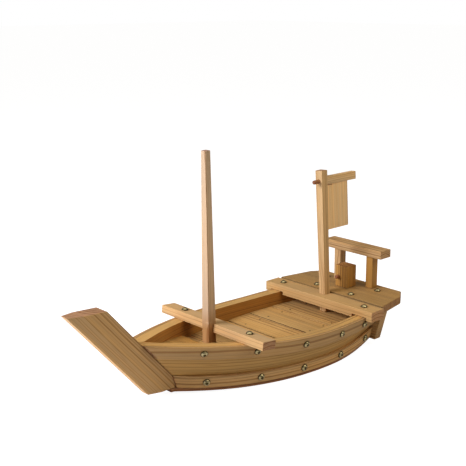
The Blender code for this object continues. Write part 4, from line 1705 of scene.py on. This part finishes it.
@dataclass
class Nails:
    """The brass dome nails of the strakes, the thwart, the beam and the aft deck."""

    lines: HullLines = LINES
    head: float = 0.0055
    dome: float = 0.0038
    shank: float = 0.0012
    bite: float = 0.0080
    rim: float = 0.0005
    rim_foot: Span = (0.35, 0.15)
    point: float = 2.0
    rings: int = 9
    sides: int = 32
    upper_shares: tuple[float, ...] = (0.0666, 0.2811, 0.5163, 0.7356, 0.9019)
    lower_shares: tuple[float, ...] = (0.1059, 0.3168, 0.5235, 0.7476, 0.9387)
    fore_spacing: float = 0.0746
    aft_spacing: float = 0.1112

    def build(self, thwart: ThwartAndMast, stern: SternDeck) -> list[bpy.types.Object]:
        """Drive every nail.

        Args:
            thwart: the thwart that is nailed to the gunwales.
            stern: the beam and the deck that are nailed down.

        Returns:
            The finished pieces.
        """
        lines = self.lines
        made = []
        for side in Side:
            made += self.strake("upper_nail", side, self.upper_shares, lines.upper_strake_foot, lines.sheer)
            made += self.strake("lower_nail", side, self.lower_shares, lines.foot, lines.lower_strake_top)
        for side in Side:
            made += self.top_nails(side, thwart, stern)
        return made

    def strake(
        self, kind: str, side: Side, shares: tuple[float, ...], low: Height, high: Height
    ) -> list[bpy.types.Object]:
        """Drive the nails of one strake.

        Args:
            kind: the name of the nails, without the side and the number.
            side: the side of the boat.
            shares: where they sit, as shares of the way from the heel of the stem to the transom.
            low: the height of the strake's lower edge.
            high: the height of its upper edge.

        Returns:
            The finished pieces.
        """
        lines = self.lines
        row = [lines.heel_x + (lines.transom_x - lines.heel_x) * share for share in shares]
        made = []
        for number, x in enumerate(row, start=1):
            z = (low(x) + high(x)) / 2
            below = lines.half(x, low(x), lines.strake_outer)
            above = lines.half(x, high(x), lines.strake_outer)
            slope = (below - above) / (high(x) - low(x))
            outward = Vector((-lines.flare(x, z), side.value, slope)).normalized()
            place = Vector((x, side.value * (below + above) / 2, z)) + outward * GAP
            made.append(self.nail(f"{kind}_{side.word}_{number}", place, outward, lines.strake_outer))
        return made

    def top_nails(self, side: Side, thwart: ThwartAndMast, stern: SternDeck) -> list[bpy.types.Object]:
        """Drive the nails of one side that go down from above.

        Args:
            side: the side of the boat.
            thwart: the thwart that is nailed to the gunwales.
            stern: the beam and the deck that are nailed down.

        Returns:
            The finished pieces.
        """
        lines = self.lines
        up = Vector((0.0, 0.0, 1.0))
        seat = thwart.spot()
        thick = thwart.thickness + GAP
        thwart_y = side.value * lines.half(thwart.x, lines.sheer(thwart.x), -lines.plank / 2)
        beam_y = side.value * lines.half(stern.beam_x, lines.sheer_aft, -lines.plank / 2)
        beam_z = stern.beam_top + GAP
        fore = (lines.transom_x + lines.transom / 2, side.value * self.fore_spacing / 2, stern.rest)
        aft = (stern.cleat_x, side.value * self.aft_spacing / 2, stern.rest)
        deck = stern.deck_thickness + 2 * GAP
        rows = (
            ("thwart", seat @ Vector((0.0, thwart_y, thick)), seat.to_3x3() @ up, thick),
            ("beam", Vector((stern.beam_x, beam_y, beam_z)), up, beam_z - lines.sheer_aft),
            ("deck_fore", Vector(fore), up, deck),
            ("deck_aft", Vector(aft), up, deck),
        )
        return [self.nail(f"{kind}_nail_{side.word}", *where) for kind, *where in rows]

    def nail(self, node: str, place: Vector, outward: Vector, board: float) -> bpy.types.Object:
        """Turn one nail and drive it.

        Args:
            node: the CAD node that it stands for.
            place: the middle of the underside of its head.
            outward: where the head points.
            board: the thickness of the board that it goes through.

        Returns:
            The finished piece.
        """
        height = self.dome - self.rim
        sphere = (self.head**2 + height**2) / (2 * height)
        edge = math.asin(self.head / sphere)
        angles = [edge * index / self.rings for index in range(self.rings + 1)]
        profile = [(sphere * math.sin(a), self.dome - sphere * (1.0 - math.cos(a))) for a in angles]
        tuck, lip = self.rim_foot
        length = board + self.bite
        profile += [
            (self.head, lip * self.rim),
            (self.head - tuck * self.rim, 0.0),
            (self.shank, 0.0),
            (self.shank, -length + self.shank * self.point),
            (0.0, -length),
        ]
        work = Turning(node, BRASS).turn(profile, self.sides).mark_turned(self.head)
        matrix = Matrix.Translation(place) @ outward.to_track_quat("Z", "Y").to_matrix().to_4x4()
        return work.place(matrix).fit()


@dataclass(frozen=True)
class Lamp:
    """A square soft light: its name, its place, the length of its sides, its power in watts and its tint."""

    name: str
    place: Triple
    size: float
    power: float
    colour: RGB

    def hang(self, aim: Vector) -> None:
        """Hang the light.

        Args:
            aim: the point that it faces.
        """
        data = bpy.data.lights.new(self.name, "AREA")
        data.size = self.size
        data.energy = self.power
        data.color = self.colour
        lamp = bpy.data.objects.new(self.name, data)
        lamp.location = self.place
        lamp.rotation_euler = (aim - lamp.location).to_track_quat("-Z", "Y").to_euler()
        bpy.context.scene.collection.objects.link(lamp)


@dataclass
class Studio:
    """The pale floor, the soft lights and the camera."""

    camera_at: Triple = (-0.92061, -0.96897, 0.55935)
    azimuth: float = math.radians(-43.394)
    elevation: float = math.radians(12.203)
    lens: float = 71.306
    sensor: float = 36.0
    shift: float = -0.08
    floor_size: float = 30.0
    floor_drop: float = 0.0002
    floor_glow: float = 0.93
    floor_matt: float = 0.35
    floor_bounce: float = 0.80
    floor_shine: float = 0.22
    ambient: float = 0.18
    mirrored_sky: Span = (0.55, 0.90)
    aim: Triple = (0.0, 0.0, 0.08)
    lamps: tuple[Lamp, ...] = (
        Lamp("key", (-1.28, 0.55, 0.95), 0.8, 32.5, (0.96, 1.02, 1.26)),
        Lamp("front", (0.45, -1.25, 1.25), 1.2, 9.5, WARM),
        Lamp("top", (-0.10, -0.10, 1.90), 1.3, 3.0, WARM),
    )

    def build(self) -> None:
        """Set up the whole studio."""
        self.camera()
        self.floor()
        self.world()
        for lamp in self.lamps:
            lamp.hang(Vector(self.aim))
        bpy.context.scene.view_settings.view_transform = "Standard"

    def camera(self) -> None:
        """Stand the camera where the photograph was taken from."""
        data = bpy.data.cameras.new("camera")
        data.lens = self.lens
        data.sensor_width = self.sensor
        data.shift_y = self.shift
        camera = bpy.data.objects.new("camera", data)
        camera.location = self.camera_at
        camera.rotation_euler = (math.pi / 2 - self.elevation, 0.0, self.azimuth)
        bpy.context.scene.collection.objects.link(camera)
        bpy.context.scene.camera = camera

    def floor(self) -> None:
        """Lay the floor, which looks white but keeps the shadow of the boat."""
        bm = bmesh.new()
        bmesh.ops.create_grid(bm, x_segments=1, y_segments=1, size=self.floor_size / 2)
        bmesh.ops.translate(bm, vec=(0.0, 0.0, -self.floor_drop), verts=bm.verts)
        mesh = bpy.data.meshes.new("floor")
        bm.to_mesh(mesh)
        bm.free()
        graph = Graph.for_material("floor_white")
        camera, glossy = self.rays(graph)
        shades = [(*[share] * 3, 1.0) for share in (self.floor_bounce, self.floor_matt)]
        matt = graph.node("ShaderNodeBsdfDiffuse", None, {"Color": graph.mix(camera, *shades)})
        glow = camera * self.floor_glow + glossy * self.floor_shine
        glow = graph.node("ShaderNodeEmission", None, {"Color": WHITE, "Strength": glow})
        both = graph.node("ShaderNodeAddShader", None, {0: matt.outputs[0], 1: glow.outputs[0]})
        graph.node("ShaderNodeOutputMaterial", None, {"Surface": both.outputs[0]})
        mesh.materials.append(graph.owner)
        floor = bpy.data.objects.new("floor", mesh)
        bpy.context.scene.collection.objects.link(floor)

    @staticmethod
    def rays(graph: Graph) -> list[Value]:
        """Return 1 for a ray from the camera and 0 for any other, and the same for a mirrored ray."""
        path = graph.node("ShaderNodeLightPath")
        return [Value(graph, path.outputs[f"Is {word} Ray"]) for word in ("Camera", "Glossy")]

    def world(self) -> None:
        """Make the world white to the eye and a weak, even light to the boat."""
        world = bpy.data.worlds.new("studio")
        bpy.context.scene.world = world
        graph = Graph(world)
        camera, glossy = self.rays(graph)
        upward = graph.parts(graph.node("ShaderNodeTexCoord").outputs["Generated"])[2]
        sight = camera + glossy * graph.soft_step(upward, *self.mirrored_sky)
        colour = graph.mix(sight, (*WARM, 1.0), WHITE)
        strength = sight * (1.0 - self.ambient) + self.ambient
        sky = graph.node("ShaderNodeBackground", None, {"Color": colour, "Strength": strength})
        graph.node("ShaderNodeOutputWorld", None, {"Surface": sky.outputs[0]})


def main() -> None:
    """Load the frame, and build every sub-assembly and the studio."""
    logging.basicConfig(level=logging.INFO, format="%(message)s")
    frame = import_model()
    LOG.info("frame with %d nodes", len(frame["nodes"]))
    flag = Flag()
    stern = SternDeck()
    thwart = ThwartAndMast()
    pieces = [
        *Hull().build(),
        *Floor().build(),
        *thwart.build(),
        *stern.build(flag),
        *flag.build(stern.beam_x + stern.beam_width / 2),
        *Nails().build(thwart, stern),
    ]
    Studio().build()


if __name__ == "__main__":
    main()
